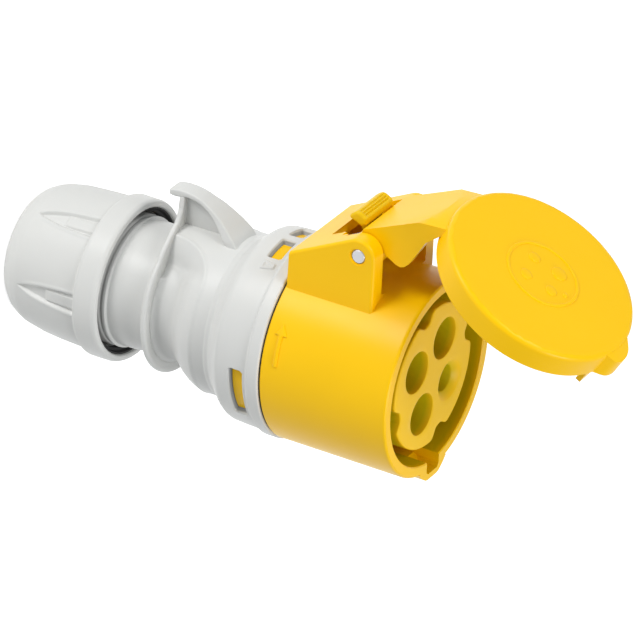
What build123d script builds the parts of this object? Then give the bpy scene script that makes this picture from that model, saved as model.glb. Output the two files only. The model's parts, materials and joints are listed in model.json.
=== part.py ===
from build123d import *
import os
from math import cos, sin, radians, degrees, sqrt, atan2, asin, hypot

# Industrial power coupler, 16 A, four poles, with a cable gland, a hinged lid and a bayonet joint.
# Millimetres. The part stands on the flat end of its gland nut: Z runs along its axis and out of
# the mouth, +Y is the side of the lid's hinge. The origin is the middle of the nut's flat end.

os.makedirs("parts", exist_ok=True)

# Heights along the axis
NECK_Z = 34.2
PLATE_Z = 48.4
PLATE_T = 1.6
SADDLE_END_Z = 66.3
FLANGE_Z = 70.1
LIP_Z = 90.3
SHOULDER_Z = 90.75
FLOOR_Z = 93.5
FACE_Z = 128.6
MOUTH_Z = 130.0

# Radii: the mouth and the neck lead, the rest follow by walls and clearances
MOUTH_R = 25.4
SHELL_WALL = 3.3
SHELL_R = MOUTH_R + SHELL_WALL
LIP_R = SHELL_R + 0.5
FLANGE_R = LIP_R - 1.0
FLANGE_BORE_R = SHELL_R - 2.7
BARREL_R = FLANGE_BORE_R - 0.25
BARREL_BORE_R = MOUTH_R - 2.0
CARRIER_R = MOUTH_R - 4.4
CARRIER_FIT = 0.15
KEY_W = 3.3
KEY_GAP = 0.4
BODY_R = 23.4
BODY_BORE_R = BODY_R - 2.5
NECK_R = 17.7
SPIGOT_R = NECK_R + 1.3
SPIGOT_BORE_R = NECK_R - 2.5
THREAD_H = 0.3
THREAD_PITCH = 2.0
THREAD_FIT = 0.05
NUT_BORE_R = SPIGOT_R + 2 * THREAD_H + THREAD_FIT
NUT_SIDE_R = NUT_BORE_R + 2.65
CABLE_R = 8.0

# Contacts: phases on a circle, the earth hole is wider and lies at four o'clock
PIN_CIRCLE_R = 10.8
PHASE_ANGLES = {"l1": 60.0, "l2": 150.0, "l3": 240.0}
EARTH_ANGLE = -30.0
NOTCH_ANGLES = (15.0, 105.0, 195.0, 285.0)
SCREW_CIRCLE_R = 14.2
SCREW_ANGLES = ((EARTH_ANGLE + PHASE_ANGLES["l1"]) / 2, (PHASE_ANGLES["l2"] + PHASE_ANGLES["l3"]) / 2)
PHASE_PIN_R = 2.5
EARTH_PIN_R = 3.5
PIN_FIT = 0.05
PHASE_SLEEVE_R = 4.2
EARTH_SLEEVE_R = 4.8
SLEEVE_FIT = 0.08
CONTACT_COLLAR_R = 5.6
TERMINAL_R = 5.0
SCREW_Z = 71.5

# Hinge bracket and lid
BRACKET_W = 16.8
PIN_Y = 39.2
PIN_Z = 112.75
PIN_R = 2.05
PIN_FIT_R = 0.05
EAR_R = 5.05
EAR_IN = 12.0
ARM_W = 11.6
ROOF_Y0 = 34.25
ROOF_Z0 = 91.6
LID_OPEN = 59.1
LID_R = SHELL_R - 0.4
LID_CUP_R = LID_R - 2.1
GASKET_FIT = 0.05
LID_FACE_Z = 138.5
LID_RIM_Z = 130.7
WEB_Z = 133.0
LID_PLATE_T = 2.5
ARM_WALL = 2.2
RAMP_SLOPE = 0.717
TAB_SLOPE = 0.6
SLOT_W = 8.3
SPRING_R = 3.1
SPRING_PITCH = 1.2
SPRING_TURNS = 8
SLIDER_SPRING_L = 4.2

# Window sectors of the bayonet flange: start angle, end angle
WINDOWS = ((70.0, 86.5), (92.0, 110.0), (179.0, 213.0), (-33.0, 1.0))
WINDOW_Z = (80.7, 85.1)

# The finger channel ends beside the hook, at this angle and at its mirror image
CHANNEL_END = 139.0


def turned(points, arc=360.0):
    """A solid of revolution about Z from (radius, height) points."""
    face = make_face(Polyline([(r, z) for r, z in points], close=True))
    return revolve(Plane.XZ * face, axis=Axis.Z, revolution_arc=arc)


def ring(r_in, r_out, z0, z1):
    """A plain tube or washer."""
    return turned([(r_in, z0), (r_out, z0), (r_out, z1), (r_in, z1)])


def rod(r, z0, z1, at=(0, 0)):
    """A plain round bar along Z."""
    return Pos(at[0], at[1], z0) * Cylinder(r, z1 - z0, align=(Align.CENTER, Align.CENTER, Align.MIN))


def bar(r, x0, x1):
    """A plain round bar along X."""
    return Rot(0, 90, 0) * rod(r, x0, x1)


def box(x0, x1, y0, y1, z0, z1):
    return Pos((x0 + x1) / 2, (y0 + y1) / 2, (z0 + z1) / 2) * Box(x1 - x0, y1 - y0, z1 - z0)


def sector(r_in, r_out, z0, z1, a0, a1, corner=0.0):
    """A block of ring between two angles, its radial edges rounded by corner."""
    block = Rot(0, 0, a0) * turned([(r_in, z0), (r_out, z0), (r_out, z1), (r_in, z1)], a1 - a0)
    if corner:
        edges = [e for e in block.edges() if e.geom_type == GeomType.LINE and abs(e.tangent_at(0.5).Z) < 0.1]
        block = fillet(edges, corner)
    return block


def side_slab(points, half_width):
    """A slab across X from a side outline given as (y, z) points."""
    face = make_face(Polyline([(y, z) for y, z in points], close=True))
    return extrude(Plane.YZ * face, amount=half_width, both=True)


def side_face(*edges):
    """A face in the YZ plane from edges drawn as (y, z)."""
    return Plane.YZ * make_face(edges)


def polar(radius, angle):
    return (radius * cos(radians(angle)), radius * sin(radians(angle)))


def thread(radius, height, z0, count, outward=True):
    """A sleeve whose wall carries a thread form, one rib for each pitch."""
    d = 1.0 if outward else -1.0
    back = radius - 0.3 * d
    points = [(back, z0)]
    for i in range(count):
        z = z0 + i * THREAD_PITCH
        points += [(radius, z + 0.1), (radius + height * d, z + 0.95), (radius + height * d, z + 1.15)]
    points += [(radius, z0 + count * THREAD_PITCH), (back, z0 + count * THREAD_PITCH)]
    return turned(points)


# The rear housing

def plate_outline():
    """The hand stop's outline: a circle that runs up into the hook's narrow neck."""
    r = 22.0
    a = radians(50)
    right = Spline((r * cos(a), r * sin(a)), (11.4, 20.3), (8.4, 22.9), (5.4, 25.3), (3.4, 28.6), (2.8, 32.4),
                   tangents=[(-sin(a), cos(a)), (0, 1)])
    left = mirror(right, Plane.YZ)
    arc = ThreePointArc((r * cos(a), r * sin(a)), (0, -r), (-r * cos(a), r * sin(a)))
    top = Line((2.8, 32.4), (-2.8, 32.4))
    return make_face([right, top, left, arc])


def hook_plan():
    """The hook seen along the axis: narrow at its tip, wide at its foot."""
    half = [(2.85, 37.0), (2.85, 33.5), (3.0, 32.0), (3.5, 30.6), (4.3, 28.0), (5.2, 26.0), (6.2, 24.2),
            (6.6, 20.0)]
    pts = half + [(-x, y) for x, y in reversed(half)]
    return Pos(0, 0, 40) * extrude(make_face(Polyline(pts, close=True)), amount=40)


def hook():
    """The hanging hook: a curved strap over a thin web, with a lip at its tip that points back."""
    outer = Spline((33.6, 45.2), (34.1, 48.6), (33.8, 52.6), (32.3, 57.0), (30.3, 60.8), (27.5, 64.5),
                   (24.6, 67.5), (21.5, 69.4))
    inner = Spline((21.5, 65.6), (23.2, 64.6), (26.1, 62.1), (29.5, 58.9), (31.3, 55.7), (32.3, 51.8),
                   (32.2, 49.5))
    edges = [outer, Line((21.5, 69.4), (21.5, 65.6)), inner, Line((32.2, 49.5), (27.8, 49.5)),
             Line((27.8, 49.5), (27.8, 48.4)), Spline((27.8, 48.4), (29.4, 47.9), (30.6, 46.7), (32.0, 45.2)),
             Line((32.0, 45.2), (33.6, 45.2))]
    strap = extrude(side_face(*edges), amount=7, both=True)
    web = side_slab([(20, 49), (33.0, 49), (33.2, 52), (31.8, 56.4), (29.9, 60.0), (26.8, 63.4), (23.8, 65.8),
                     (20, 67)], 1.1)
    return (strap & hook_plan()) + web


def channel():
    """The finger channel behind the hand stop: turned round the sides and belly, with rounded ends."""
    z = PLATE_Z + PLATE_T
    lip = 1.4
    low = [(NECK_R, 4.2), (NECK_R + 0.25, 5.4), (NECK_R + 1.0, 6.6), (NECK_R + 2.2, 7.8), (BODY_R - 2.2, 9.3),
           (BODY_R - 1.1, 11.2), (BODY_R - 0.4, 13.2), (BODY_R + 0.05, 16.0)]
    curve = Polyline(low)
    edges = [Line((NECK_R + lip, 0), (31, 0)), Line((31, 0), (31, 16.0)),
             Line((31, 16.0), (BODY_R + 0.05, 16.0)), curve, Line((NECK_R, 4.2), (NECK_R, lip)),
             ThreePointArc((NECK_R, lip), (NECK_R + 0.41, 0.41), (NECK_R + lip, 0))]
    face = make_face(edges)
    end = CHANNEL_END
    arc = 360 - 2 * (end - 90)
    whole = Pos(0, 0, z) * Rot(0, 0, end) * revolve(Plane.XZ * face, axis=Axis.Z, revolution_arc=arc)
    cap = revolve(Plane.XZ * face, axis=Axis.X, revolution_arc=90)
    cap_l = Pos(0, 0, z) * Rot(0, 0, end) * cap
    cap_r = mirror(cap_l, Plane.YZ)
    return whole, cap_l, cap_r


def rear_housing():
    """The grey cable housing with its gland spigot, hand stop, hook and bayonet flange."""
    neck = [(0, 12.0), (SPIGOT_R - 0.6, 12.0), (SPIGOT_R, 12.7), (SPIGOT_R, 33.0), (SPIGOT_R - 0.2, 33.4),
            (SPIGOT_R - 0.2, NECK_Z), (NECK_R + 0.5, 34.8)]
    barrel = Polyline([(NECK_R + 0.5, 34.8), (NECK_R + 0.55, 39.0), (NECK_R + 0.2, 43.0), (NECK_R, 46.2)])
    flare = ThreePointArc((NECK_R, 46.2), (NECK_R + 0.65, 47.75), (NECK_R + 2.2, PLATE_Z))
    flange = Polyline([(BODY_R + 0.2, FLANGE_Z), (BODY_R + 0.45, 71.4), (FLANGE_R - 3.6, 72.4),
                       (FLANGE_R - 2.3, 73.8), (FLANGE_R - 1.3, 75.1), (FLANGE_R - 0.5, 77.3),
                       (FLANGE_R, 80.2)])
    edges = [Polyline([(r, z) for r, z in neck]), barrel, flare,
             Polyline([(NECK_R + 2.2, PLATE_Z), (NECK_R + 2.8, PLATE_Z), (NECK_R + 2.8, PLATE_Z + 1.0),
                       (BODY_R, PLATE_Z + 1.0), (BODY_R, FLANGE_Z - 0.4), (BODY_R + 0.2, FLANGE_Z)]), flange,
             Polyline([(FLANGE_R, 80.2), (FLANGE_R + 0.2, 86.0), (FLANGE_R + 0.5, 86.4),
                       (FLANGE_R + 0.7, 86.5), (LIP_R, 86.9), (LIP_R, LIP_Z - 0.3), (LIP_R - 0.3, LIP_Z),
                       (0, LIP_Z), (0, 12.0)])]
    solid = revolve(Plane.XZ * make_face(edges), axis=Axis.Z)
    for cut in channel():
        solid = solid - cut
    plate = Pos(0, 0, PLATE_Z) * extrude(plate_outline(), amount=PLATE_T)
    rim = [e for e in plate.edges() if abs(e.tangent_at(0.5).Z) < 0.1]
    plate = fillet(rim, 0.5)
    solid = solid + (plate + hook())
    solid = solid - turned([(0, 11), (SPIGOT_BORE_R, 11), (SPIGOT_BORE_R, 55.5), (SPIGOT_BORE_R + 1.4, 58.5),
                            (BODY_BORE_R - 2.3, 61.2), (BODY_BORE_R - 0.7, 64.2), (BODY_BORE_R, 67.0),
                            (BODY_BORE_R, 74.5), (FLANGE_BORE_R, 74.5), (FLANGE_BORE_R, 92), (0, 92)])
    for a0, a1 in WINDOWS:
        solid = solid - sector(FLANGE_BORE_R - 1.5, LIP_R + 2, WINDOW_Z[0], WINDOW_Z[1], a0, a1, 0.9)
    solid = solid + thread(SPIGOT_R, THREAD_H, 13.6, 8)
    return solid + lock_mark()


def lock_mark():
    """A small raised wedge on the flange that shows where the bayonet locks."""
    plan = make_face(Polyline([(1.9, -1.5), (1.9, 1.5), (-1.9, 0.75), (-1.9, -0.75)], close=True))
    height = (WINDOW_Z[0] + WINDOW_Z[1]) / 2
    return Rot(0, 0, 116.0) * Rot(0, 90, 0) * Pos(-height, 0, FLANGE_R - 0.6) * extrude(plan, amount=1.0)


# The cable gland

def gland_nut():
    """The gland nut: a fluted cap with a collar, threaded inside, and a round cable hole."""
    r = NUT_SIDE_R
    side = [(r - 1.8, 6.4), (r - 1.0, 11.0), (r - 0.4, 18.0), (r, 27.0)]
    collar = [(r + 0.8, 27.2), (r + 1.3, 27.8), (r + 1.2, 33.4), (r + 0.6, 34.4), (r, 34.6), (r - 0.8, 34.6)]
    inside = [(r - 1.0, 34.2), (r - 1.0, 31.5), (NUT_BORE_R, 30.6), (NUT_BORE_R, 10.0), (r - 5.5, 9.6),
              (r - 7.1, 3.2)]
    hole = [(10.9, 3.2), (10.4, 2.7), (10.4, 0.6), (11.0, 0.0), (r - 7.3, 0.0)]
    edges = [ThreePointArc((r - 7.3, 0.0), (r - 3.75, 2.2), (r - 1.8, 6.4)),
             Polyline(side + collar + inside + hole)]
    solid = revolve(Plane.XZ * make_face(edges), axis=Axis.Z)
    solid = solid + thread(NUT_BORE_R, THREAD_H, 14.6, 7, outward=False)
    for i in range(6):
        solid = solid - Rot(0, 0, 60.0 * i) * flute()
    for i in range(6):
        solid = solid + Rot(0, 0, 60.0 * i) * grip_pad()
    return solid


def flute():
    """A hollow in the nut's side, pointed at the rear and wide at the collar."""
    plan = make_face([ThreePointArc((0.15, 7.6), (2.3, 16.0), (3.3, 27.0)), Line((3.3, 27.0), (-3.3, 27.0)),
                      ThreePointArc((-3.3, 27.0), (-2.3, 16.0), (-0.15, 7.6)),
                      Line((-0.15, 7.6), (0.15, 7.6))])
    prism = Pos(15, 0, 0) * extrude(Plane.YZ * plan, amount=12)
    r = NUT_SIDE_R
    hollow = turned([(r - 2.4, 4), (r - 1.85, 10.0), (r - 1.2, 18.0), (r - 0.8, 27.0), (r + 4, 27.0),
                     (r + 4, 4)])
    return prism & hollow


def grip_pad():
    """The raised pad in each flute."""
    slab = box(19.0, 24.0, -1.75, 1.75, 17.4, 27.1)
    slab = fillet([e for e in slab.edges() if abs(e.tangent_at(0.5).X) > 0.9 and e.center().Z < 20], 1.0)
    r = NUT_SIDE_R
    return slab & turned([(r - 1.7, 17), (r - 0.85, 17.4), (r - 0.4, 27.1), (r - 1.7, 27.1)])


def clamp_ring():
    """The strain relief: a ring whose fingers grip the seal when the nut drives them in."""
    solid = turned([(12.95, 7.4), (13.6, 4.3), (14.8, 4.3), (16.3, 8.4), (16.3, 9.0), (15.05, 9.0),
                    (15.05, 30.0), (14.4, 30.6), (12.95, 30.6)])
    for i in range(12):
        solid = solid - Rot(0, 0, 30 * i) * box(10, 18, -0.5, 0.5, 3, 22)
    return solid


def gland_seal():
    """The rubber sleeve that closes on the cable."""
    return turned([(CABLE_R + 0.6, 6.6), (CABLE_R + 1.2, 6.0), (12.3, 6.0), (12.9, 6.6), (12.9, 29.6),
                   (CABLE_R + 0.6, 29.6), (CABLE_R, 24.0), (CABLE_R, 12.0)])


def thrust_washer():
    """The slip washer between the nut's end wall and the clamp fingers."""
    return ring(10.8, 14.6, 3.25, 4.25)


# The front housing and what it holds

def roof_tangent():
    """The point where the bracket's sloping roof meets the round of its ears."""
    dy, dz = PIN_Y - ROOF_Y0, PIN_Z - ROOF_Z0
    dist = hypot(dy, dz)
    base = atan2(dz, dy)
    turn = asin(EAR_R / dist)
    reach = sqrt(dist * dist - EAR_R * EAR_R)
    ang = base - turn
    return (ROOF_Y0 + reach * cos(ang), ROOF_Z0 + reach * sin(ang)), ang


TANGENT, ROOF_ANGLE = roof_tangent()


def along_roof(distance, lift):
    """A (y, z) point that lies at a distance up the roof and a lift off it."""
    c, s = cos(ROOF_ANGLE), sin(ROOF_ANGLE)
    return (TANGENT[0] + distance * c + lift * s, TANGENT[1] + distance * s - lift * c)


def bracket():
    """The wedge-shaped hinge bracket with two ears, hollow and open at the front."""
    (ty, tz) = TANGENT
    top = PIN_Z + EAR_R
    arc = ThreePointArc((ty, tz), (PIN_Y + EAR_R * cos(0.45), PIN_Z + EAR_R * sin(0.45)), (PIN_Y, top))
    edges = [Line((20, ROOF_Z0 - 0.3), (ROOF_Y0, ROOF_Z0)), Line((ROOF_Y0, ROOF_Z0), (ty, tz)), arc,
             Line((PIN_Y, top), (20, top)), Line((20, top), (20, ROOF_Z0 - 0.3))]
    wedge = extrude(side_face(*edges), amount=BRACKET_W, both=True)
    tall = [e for e in wedge.edges() if abs(abs(e.center().X) - BRACKET_W) < 0.01 and e.center().Y > 30]
    wedge = fillet(tall, 0.9)
    hollow = side_slab([(SHELL_R - 1.7, 94.2), (32.2, 94.2), (40.9, 111.1), (48, 111.1), (48, 120),
                        (SHELL_R - 1.7, 120)], EAR_IN)
    gap = side_slab([(31.0, 106.2), (50, 106.2), (50, 120), (31.0, 120)], EAR_IN)
    slot = side_slab([(30, 99.8), (44, 99.8), (50, 107.0), (30, 107.0)], SLOT_W)
    bore = Pos(0, PIN_Y, PIN_Z) * Rot(0, 90, 0) * Cylinder(PIN_R + PIN_FIT_R, 60)
    dish = Pos(-BRACKET_W, PIN_Y, PIN_Z) * Rot(0, 90, 0) * Cylinder(2.5, 0.5)
    ledge = side_slab([along_roof(-7.0, 1), along_roof(-3.2, 1), along_roof(-3.2, -1), along_roof(-7.0, -1)],
                      SLOT_W + 2.3)
    wedge = wedge - hollow - gap - slot - ledge - bore - dish - mirror(dish, Plane.YZ)
    return wedge - rod(SHELL_R - 0.8, 80, 125)


def key_bump():
    """The keyway's outside: a swelling of the mouth's rim at the belly."""
    r = SHELL_R
    half = [(2.4, -r - 2.3), (3.6, -r - 2.0), (6.0, -r - 0.2), (7.4, -r + 1.3), (5.0, -r + 2.1)]
    outline = [(-x, y) for x, y in reversed(half)] + half
    bump = Pos(0, 0, 118) * extrude(make_face(Polyline(outline, close=True)), amount=12)
    slope = side_slab([(-r - 12, 131), (-r - 12, 124), (-r - 2.5, 124), (-r + 0.7, 118), (-r + 9, 118),
                       (-r + 9, 131)], 12)
    return bump & slope


def front_housing():
    """The yellow front: mouth collar, floor, bayonet barrel with lugs, keyway and hinge bracket."""
    solid = turned([(CARRIER_R + CARRIER_FIT, 90.5), (BARREL_BORE_R, 90.5), (BARREL_BORE_R, 77.0),
                    (BARREL_R - 0.5, 77.0), (BARREL_R, 77.5), (BARREL_R, SHOULDER_Z),
                    (SHELL_R - 0.4, SHOULDER_Z), (SHELL_R, SHOULDER_Z + 0.4), (SHELL_R, MOUTH_Z - 0.9),
                    (SHELL_R - 0.25, MOUTH_Z - 0.3),
                    (SHELL_R - 0.7, MOUTH_Z), (MOUTH_R + 0.3, MOUTH_Z), (MOUTH_R, MOUTH_Z - 0.3),
                    (MOUTH_R, FLOOR_Z), (CARRIER_R + CARRIER_FIT, FLOOR_Z)])
    solid = solid + bracket() + key_bump()
    solid = solid - box(-KEY_W, KEY_W, -SHELL_R + 1.2, -MOUTH_R + 3.4, FLOOR_Z, 132)
    low = -SHELL_R - 0.5
    back = -SHELL_R + 2.7
    deep = side_slab([(back, 122.0), (back, 132), (low, 132), (low, 124.2), (-SHELL_R + 1.2, 122.0)], KEY_W)
    corners = [e for e in deep.edges() if e.center().Y < low + 0.1 and abs(e.tangent_at(0.5).Z) > 0.9]
    solid = solid - chamfer(corners, 0.9)
    for a0, a1 in WINDOWS:
        lug = sector(BARREL_R - 0.6, FLANGE_BORE_R + 0.7, WINDOW_Z[0] + 0.5, WINDOW_Z[1] - 0.5,
                     a0 + 1.4, a1 - 1.4)
        solid = solid + lug
    groove_in = ring(BARREL_BORE_R - 0.1, BARREL_BORE_R + 0.95, 79.3, 81.0)
    return solid - groove_in


def contact_carrier():
    """The insulating insert with four contact holes and four grooves in its side."""
    foot_r = BARREL_BORE_R - 0.9
    solid = turned([(0, 84.1), (foot_r, 84.1), (foot_r, 90.4), (CARRIER_R, 90.4), (CARRIER_R, FACE_Z - 0.5),
                    (CARRIER_R - 0.5, FACE_Z), (0, FACE_Z)])
    for a in NOTCH_ANGLES:
        cut = box(CARRIER_R - 3.5, CARRIER_R + 5, -3.4, 3.4, 93.6, 130)
        inner = [e for e in cut.edges() if abs(e.tangent_at(0.5).Z) > 0.9 and e.center().X < CARRIER_R]
        cut = fillet(inner, 1.2)
        solid = solid - Rot(0, 0, a) * cut
    for a in PHASE_ANGLES.values():
        x, y = polar(PIN_CIRCLE_R, a)
        solid = solid - rod(6.0, 118.8, 130, (x, y)) - rod(PHASE_SLEEVE_R + SLEEVE_FIT, 80, 119, (x, y))
        solid = solid - rod(CONTACT_COLLAR_R + 0.1, 80, 86.2, (x, y))
    x, y = polar(PIN_CIRCLE_R, EARTH_ANGLE)
    cone = turned([(0, 124.8), (3.9, 124.8), (6.1, FACE_Z + 0.01), (6.1, 130), (0, 130)])
    solid = solid - Pos(x, y, 0) * cone - rod(3.9, 119.4, 126, (x, y))
    solid = solid - rod(EARTH_SLEEVE_R + SLEEVE_FIT, 80, 119.5, (x, y))
    solid = solid - rod(CONTACT_COLLAR_R + 0.1, 80, 86.2, (x, y))
    for a in SCREW_ANGLES:
        solid = solid - rod(1.3, 80, 95, polar(SCREW_CIRCLE_R, a))
    return solid


def carrier_plate():
    """The plate that keeps the contacts in the insert."""
    solid = rod(BARREL_BORE_R - 0.2, 81.1, 84.0)
    for a in list(PHASE_ANGLES.values()) + [EARTH_ANGLE]:
        solid = solid - rod(TERMINAL_R + 0.25, 80, 85, polar(PIN_CIRCLE_R, a))
    for a in SCREW_ANGLES:
        solid = solid - rod(1.7, 80, 85, polar(SCREW_CIRCLE_R, a))
        solid = solid - rod(2.9, 80, 82.1, polar(SCREW_CIRCLE_R, a))
    return solid


def carrier_screws():
    """Two pan head screws through the plate."""
    out = []
    for a in SCREW_ANGLES:
        x, y = polar(SCREW_CIRCLE_R, a)
        screw = rod(1.25, 82.0, 92.0, (x, y)) + rod(2.7, 80.2, 82.05, (x, y))
        out.append(screw - box(x - 2, x + 2, y - 0.3, y + 0.3, 80.0, 80.9))
    return Compound(children=out)


def retaining_ring():
    """The open snap ring that holds plate and insert in the barrel."""
    solid = ring(BARREL_BORE_R - 1.1, BARREL_BORE_R + 0.85, 79.45, 80.9)
    return solid - Rot(0, 0, -90) * box(20, 26, -3.0, 3.0, 79, 82)


def contact(angle, sleeve_r, pin_r, top_z):
    """A socket contact: slit sleeve, collar and screw terminal, turned from one bar."""
    x, y = polar(PIN_CIRCLE_R, angle)
    solid = rod(TERMINAL_R, 66.0, 84.2) + rod(CONTACT_COLLAR_R, 84.15, 86.1) + rod(sleeve_r, 86.0, top_z)
    solid = solid - rod(pin_r + PIN_FIT, 96.0, top_z + 1) - rod(2.5, 65, 79.0)
    solid = solid - turned([(0, top_z - 0.6), (pin_r + PIN_FIT, top_z - 0.6), (pin_r + 0.6, top_z + 0.01),
                            (0, top_z + 0.01)])
    solid = solid - box(-8, 8, -0.3, 0.3, 100.0, top_z + 1)
    screw_hole = Pos(0, 0, SCREW_Z) * bar(1.9, 0, 8)
    return Pos(x, y, 0) * Rot(0, 0, angle) * (solid - screw_hole)


def terminal_screws():
    """The four clamping screws of the terminals."""
    out = []
    for a in list(PHASE_ANGLES.values()) + [EARTH_ANGLE]:
        x, y = polar(PIN_CIRCLE_R, a)
        screw = bar(1.85, 0, 5.4) + bar(2.9, 5.3, 7.2) - box(6.4, 8, -3.2, 3.2, -0.4, 0.4)
        out.append(Pos(x, y, SCREW_Z) * Rot(0, 0, a) * screw)
    return Compound(children=out)


def contact_springs():
    """Spring clips round the slit sleeves."""
    out = []
    for a, r in [(a, PHASE_SLEEVE_R) for a in PHASE_ANGLES.values()] + [(EARTH_ANGLE, EARTH_SLEEVE_R)]:
        x, y = polar(PIN_CIRCLE_R, a)
        clip = ring(r - 0.5, r, 112.0, 115.0) - box(0, 6, -0.8, 0.8, 111, 116)
        out.append(Pos(x, y, 0) * Rot(0, 0, a + 90) * clip)
    return Compound(children=out)


def clip_grooves(angle, sleeve_r):
    """The groove each clip lies in."""
    x, y = polar(PIN_CIRCLE_R, angle)
    return Pos(x, y, 0) * ring(sleeve_r - 0.52, sleeve_r + 1, 111.95, 115.05)


def phase_contact(name):
    """One of the three phase contacts, its clip groove cut."""
    angle = PHASE_ANGLES[name]
    return contact(angle, PHASE_SLEEVE_R, PHASE_PIN_R, 118.6) - clip_grooves(angle, PHASE_SLEEVE_R)


def housing_seal():
    """The dark sealing ring between the two housings."""
    return ring(BARREL_R + 0.05, LIP_R - 0.9, LIP_Z + 0.02, SHOULDER_Z - 0.02)


# The lid

def opened(shape):
    """Turns a piece of the closed lid about the hinge pin to the open position."""
    return Pos(0, PIN_Y, PIN_Z) * Rot(-LID_OPEN, 0, 0) * Pos(0, -PIN_Y, -PIN_Z) * shape


def from_pin(y, z):
    """A (y, z) point of the closed lid, given from the hinge pin."""
    return (PIN_Y + y, PIN_Z + z)


def lid_arm():
    """The arm: a channel with a sloping top, deep side webs and a conical ramp up to the lid's face."""
    inside = LID_R - 0.3
    side = side_slab([from_pin(-2.0, 2.85), from_pin(-8.4, 2.85), from_pin(-9.8, 3.25), (inside + 0.5, 117.0),
                      (inside, 118.8), (inside, 127.9), (26.0, WEB_Z), (18.0, WEB_Z),
                      (18.0, LID_FACE_Z + 3.9), (24.94, LID_FACE_Z + 3.9), from_pin(4.3, 3.85),
                      from_pin(3.8, 1.85), from_pin(1.8, -2.15), from_pin(-2.2, -2.15)], ARM_W)
    top = LID_FACE_Z - 2.2
    ramp = turned([(0, 100), (60, 100), (60, top - (60 - inside) * RAMP_SLOPE), (inside, top),
                   (inside, top + 0.9), (0, top + 0.9)])
    inner = side_slab([from_pin(-0.8, -4.75), from_pin(-0.8, 5.95), (inside + 0.3, 132.8),
                       (inside - 0.4, 133.2), (inside - 3.1, 133.2), (inside - 3.1, 108)], ARM_W - ARM_WALL)
    return (side & ramp) - inner - rod(LID_CUP_R, 100, LID_FACE_Z - LID_PLATE_T)


def lid_tab():
    """The thumb tab: as deep as the skirt, its top falls away outwards from the lid's face."""
    r = LID_R - 1.9
    front = Spline((-6.9, -r), (-5.6, -r - 1.4), (-4.0, -r - 3.5), (0, -r - 4.8), (4.0, -r - 3.5),
                   (5.6, -r - 1.4), (6.9, -r), tangents=[(0.5, -0.5), (0.5, 0.5)])
    plan = make_face([front, Line((6.9, -r), (-6.9, -r))])
    block = Pos(0, 0, LID_RIM_Z) * extrude(plan, amount=LID_FACE_Z - LID_RIM_Z)
    top = LID_FACE_Z - 0.5
    fall = turned([(0, 100), (60, 100), (60, top - (60 - LID_R) * TAB_SLOPE), (LID_R, top), (0, top)])
    return block & fall


def lid_catch():
    """The bar that hangs from the lid into the keyway and holds a plug."""
    bar_x = KEY_W - KEY_GAP
    bar = box(-bar_x, bar_x, -LID_CUP_R, -LID_CUP_R + 1.5, LID_FACE_Z - 16.0, LID_FACE_Z - LID_PLATE_T + 1)
    ends = [e for e in bar.edges() if abs(e.tangent_at(0.5).Y) > 0.9 and e.center().Z < LID_RIM_Z]
    return fillet(ends, 0.7)


def lid():
    """The hinged lid with its skirt, thumb tab, plug catch and hinge knuckle, one moulding."""
    under = LID_FACE_Z - LID_PLATE_T
    disc = turned([(0, under), (LID_CUP_R, under), (LID_CUP_R, LID_RIM_Z + 0.3), (LID_CUP_R + 0.3, LID_RIM_Z),
                   (LID_R - 0.5, LID_RIM_Z), (LID_R - 0.1, LID_RIM_Z + 0.4), (LID_R, LID_FACE_Z - 1.6),
                   (LID_R - 0.12, LID_FACE_Z - 0.9), (LID_R - 0.45, LID_FACE_Z - 0.35),
                   (LID_R - 1.1, LID_FACE_Z), (0, LID_FACE_Z)])
    body = disc + lid_tab() + lid_catch() + lid_arm()
    knuckle = Pos(0, PIN_Y, PIN_Z) * Rot(0, 90, 0) * Cylinder(EAR_R - 0.25, 2 * ARM_W)
    body = body + knuckle
    room = (box(-6.4, 6.4, PIN_Y - 6.2, PIN_Y + 6.8, 106, PIN_Z + 0.75)
            + Pos(0, PIN_Y, PIN_Z) * Rot(0, 90, 0) * Cylinder(4.0, 12.8)
            + box(-6.4, 6.4, PIN_Y - 6.2, PIN_Y + 3.6, 106, PIN_Z + 4.25))
    body = body - room - Pos(0, PIN_Y, PIN_Z) * Rot(0, 90, 0) * Cylinder(PIN_R + PIN_FIT_R, 60)
    return opened(body)


def lid_gasket():
    """The sealing ring in the lid that lands on the mouth's rim, let in round the catch."""
    top = LID_FACE_Z - LID_PLATE_T - GASKET_FIT
    r = LID_CUP_R - GASKET_FIT
    solid = turned([(r - 2.6, MOUTH_Z + 0.5), (r - 2.1, MOUTH_Z + 0.1), (r - 0.35, MOUTH_Z + 0.1),
                    (r - 0.05, MOUTH_Z + 0.6), (r, top), (r - 2.6, top)])
    return opened(solid - box(-KEY_W, KEY_W, -LID_R, -LID_CUP_R + 1.8, MOUTH_Z, LID_FACE_Z))


def hinge_pin():
    """The steel hinge pin."""
    pin = Pos(0, PIN_Y, PIN_Z) * Rot(0, 90, 0) * Cylinder(PIN_R, 2 * (BRACKET_W - 0.15))
    return chamfer(pin.edges(), 0.25)


def lid_spring():
    """The closing spring on the pin: coils that touch, drawn as one wavy sleeve."""
    outline = []
    for i in range(SPRING_TURNS):
        z = (i - SPRING_TURNS / 2) * SPRING_PITCH
        outline += [(SPRING_R + 0.1, z), (SPRING_R + 0.5, z + 0.6)]
    for i in reversed(range(SPRING_TURNS)):
        z = (i - SPRING_TURNS / 2) * SPRING_PITCH
        outline += [(SPRING_R - 0.5, z + 0.6), (SPRING_R - 0.1, z)]
    return Pos(0, PIN_Y, PIN_Z) * Rot(0, 90, 0) * turned(outline)


# The bayonet lock

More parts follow.
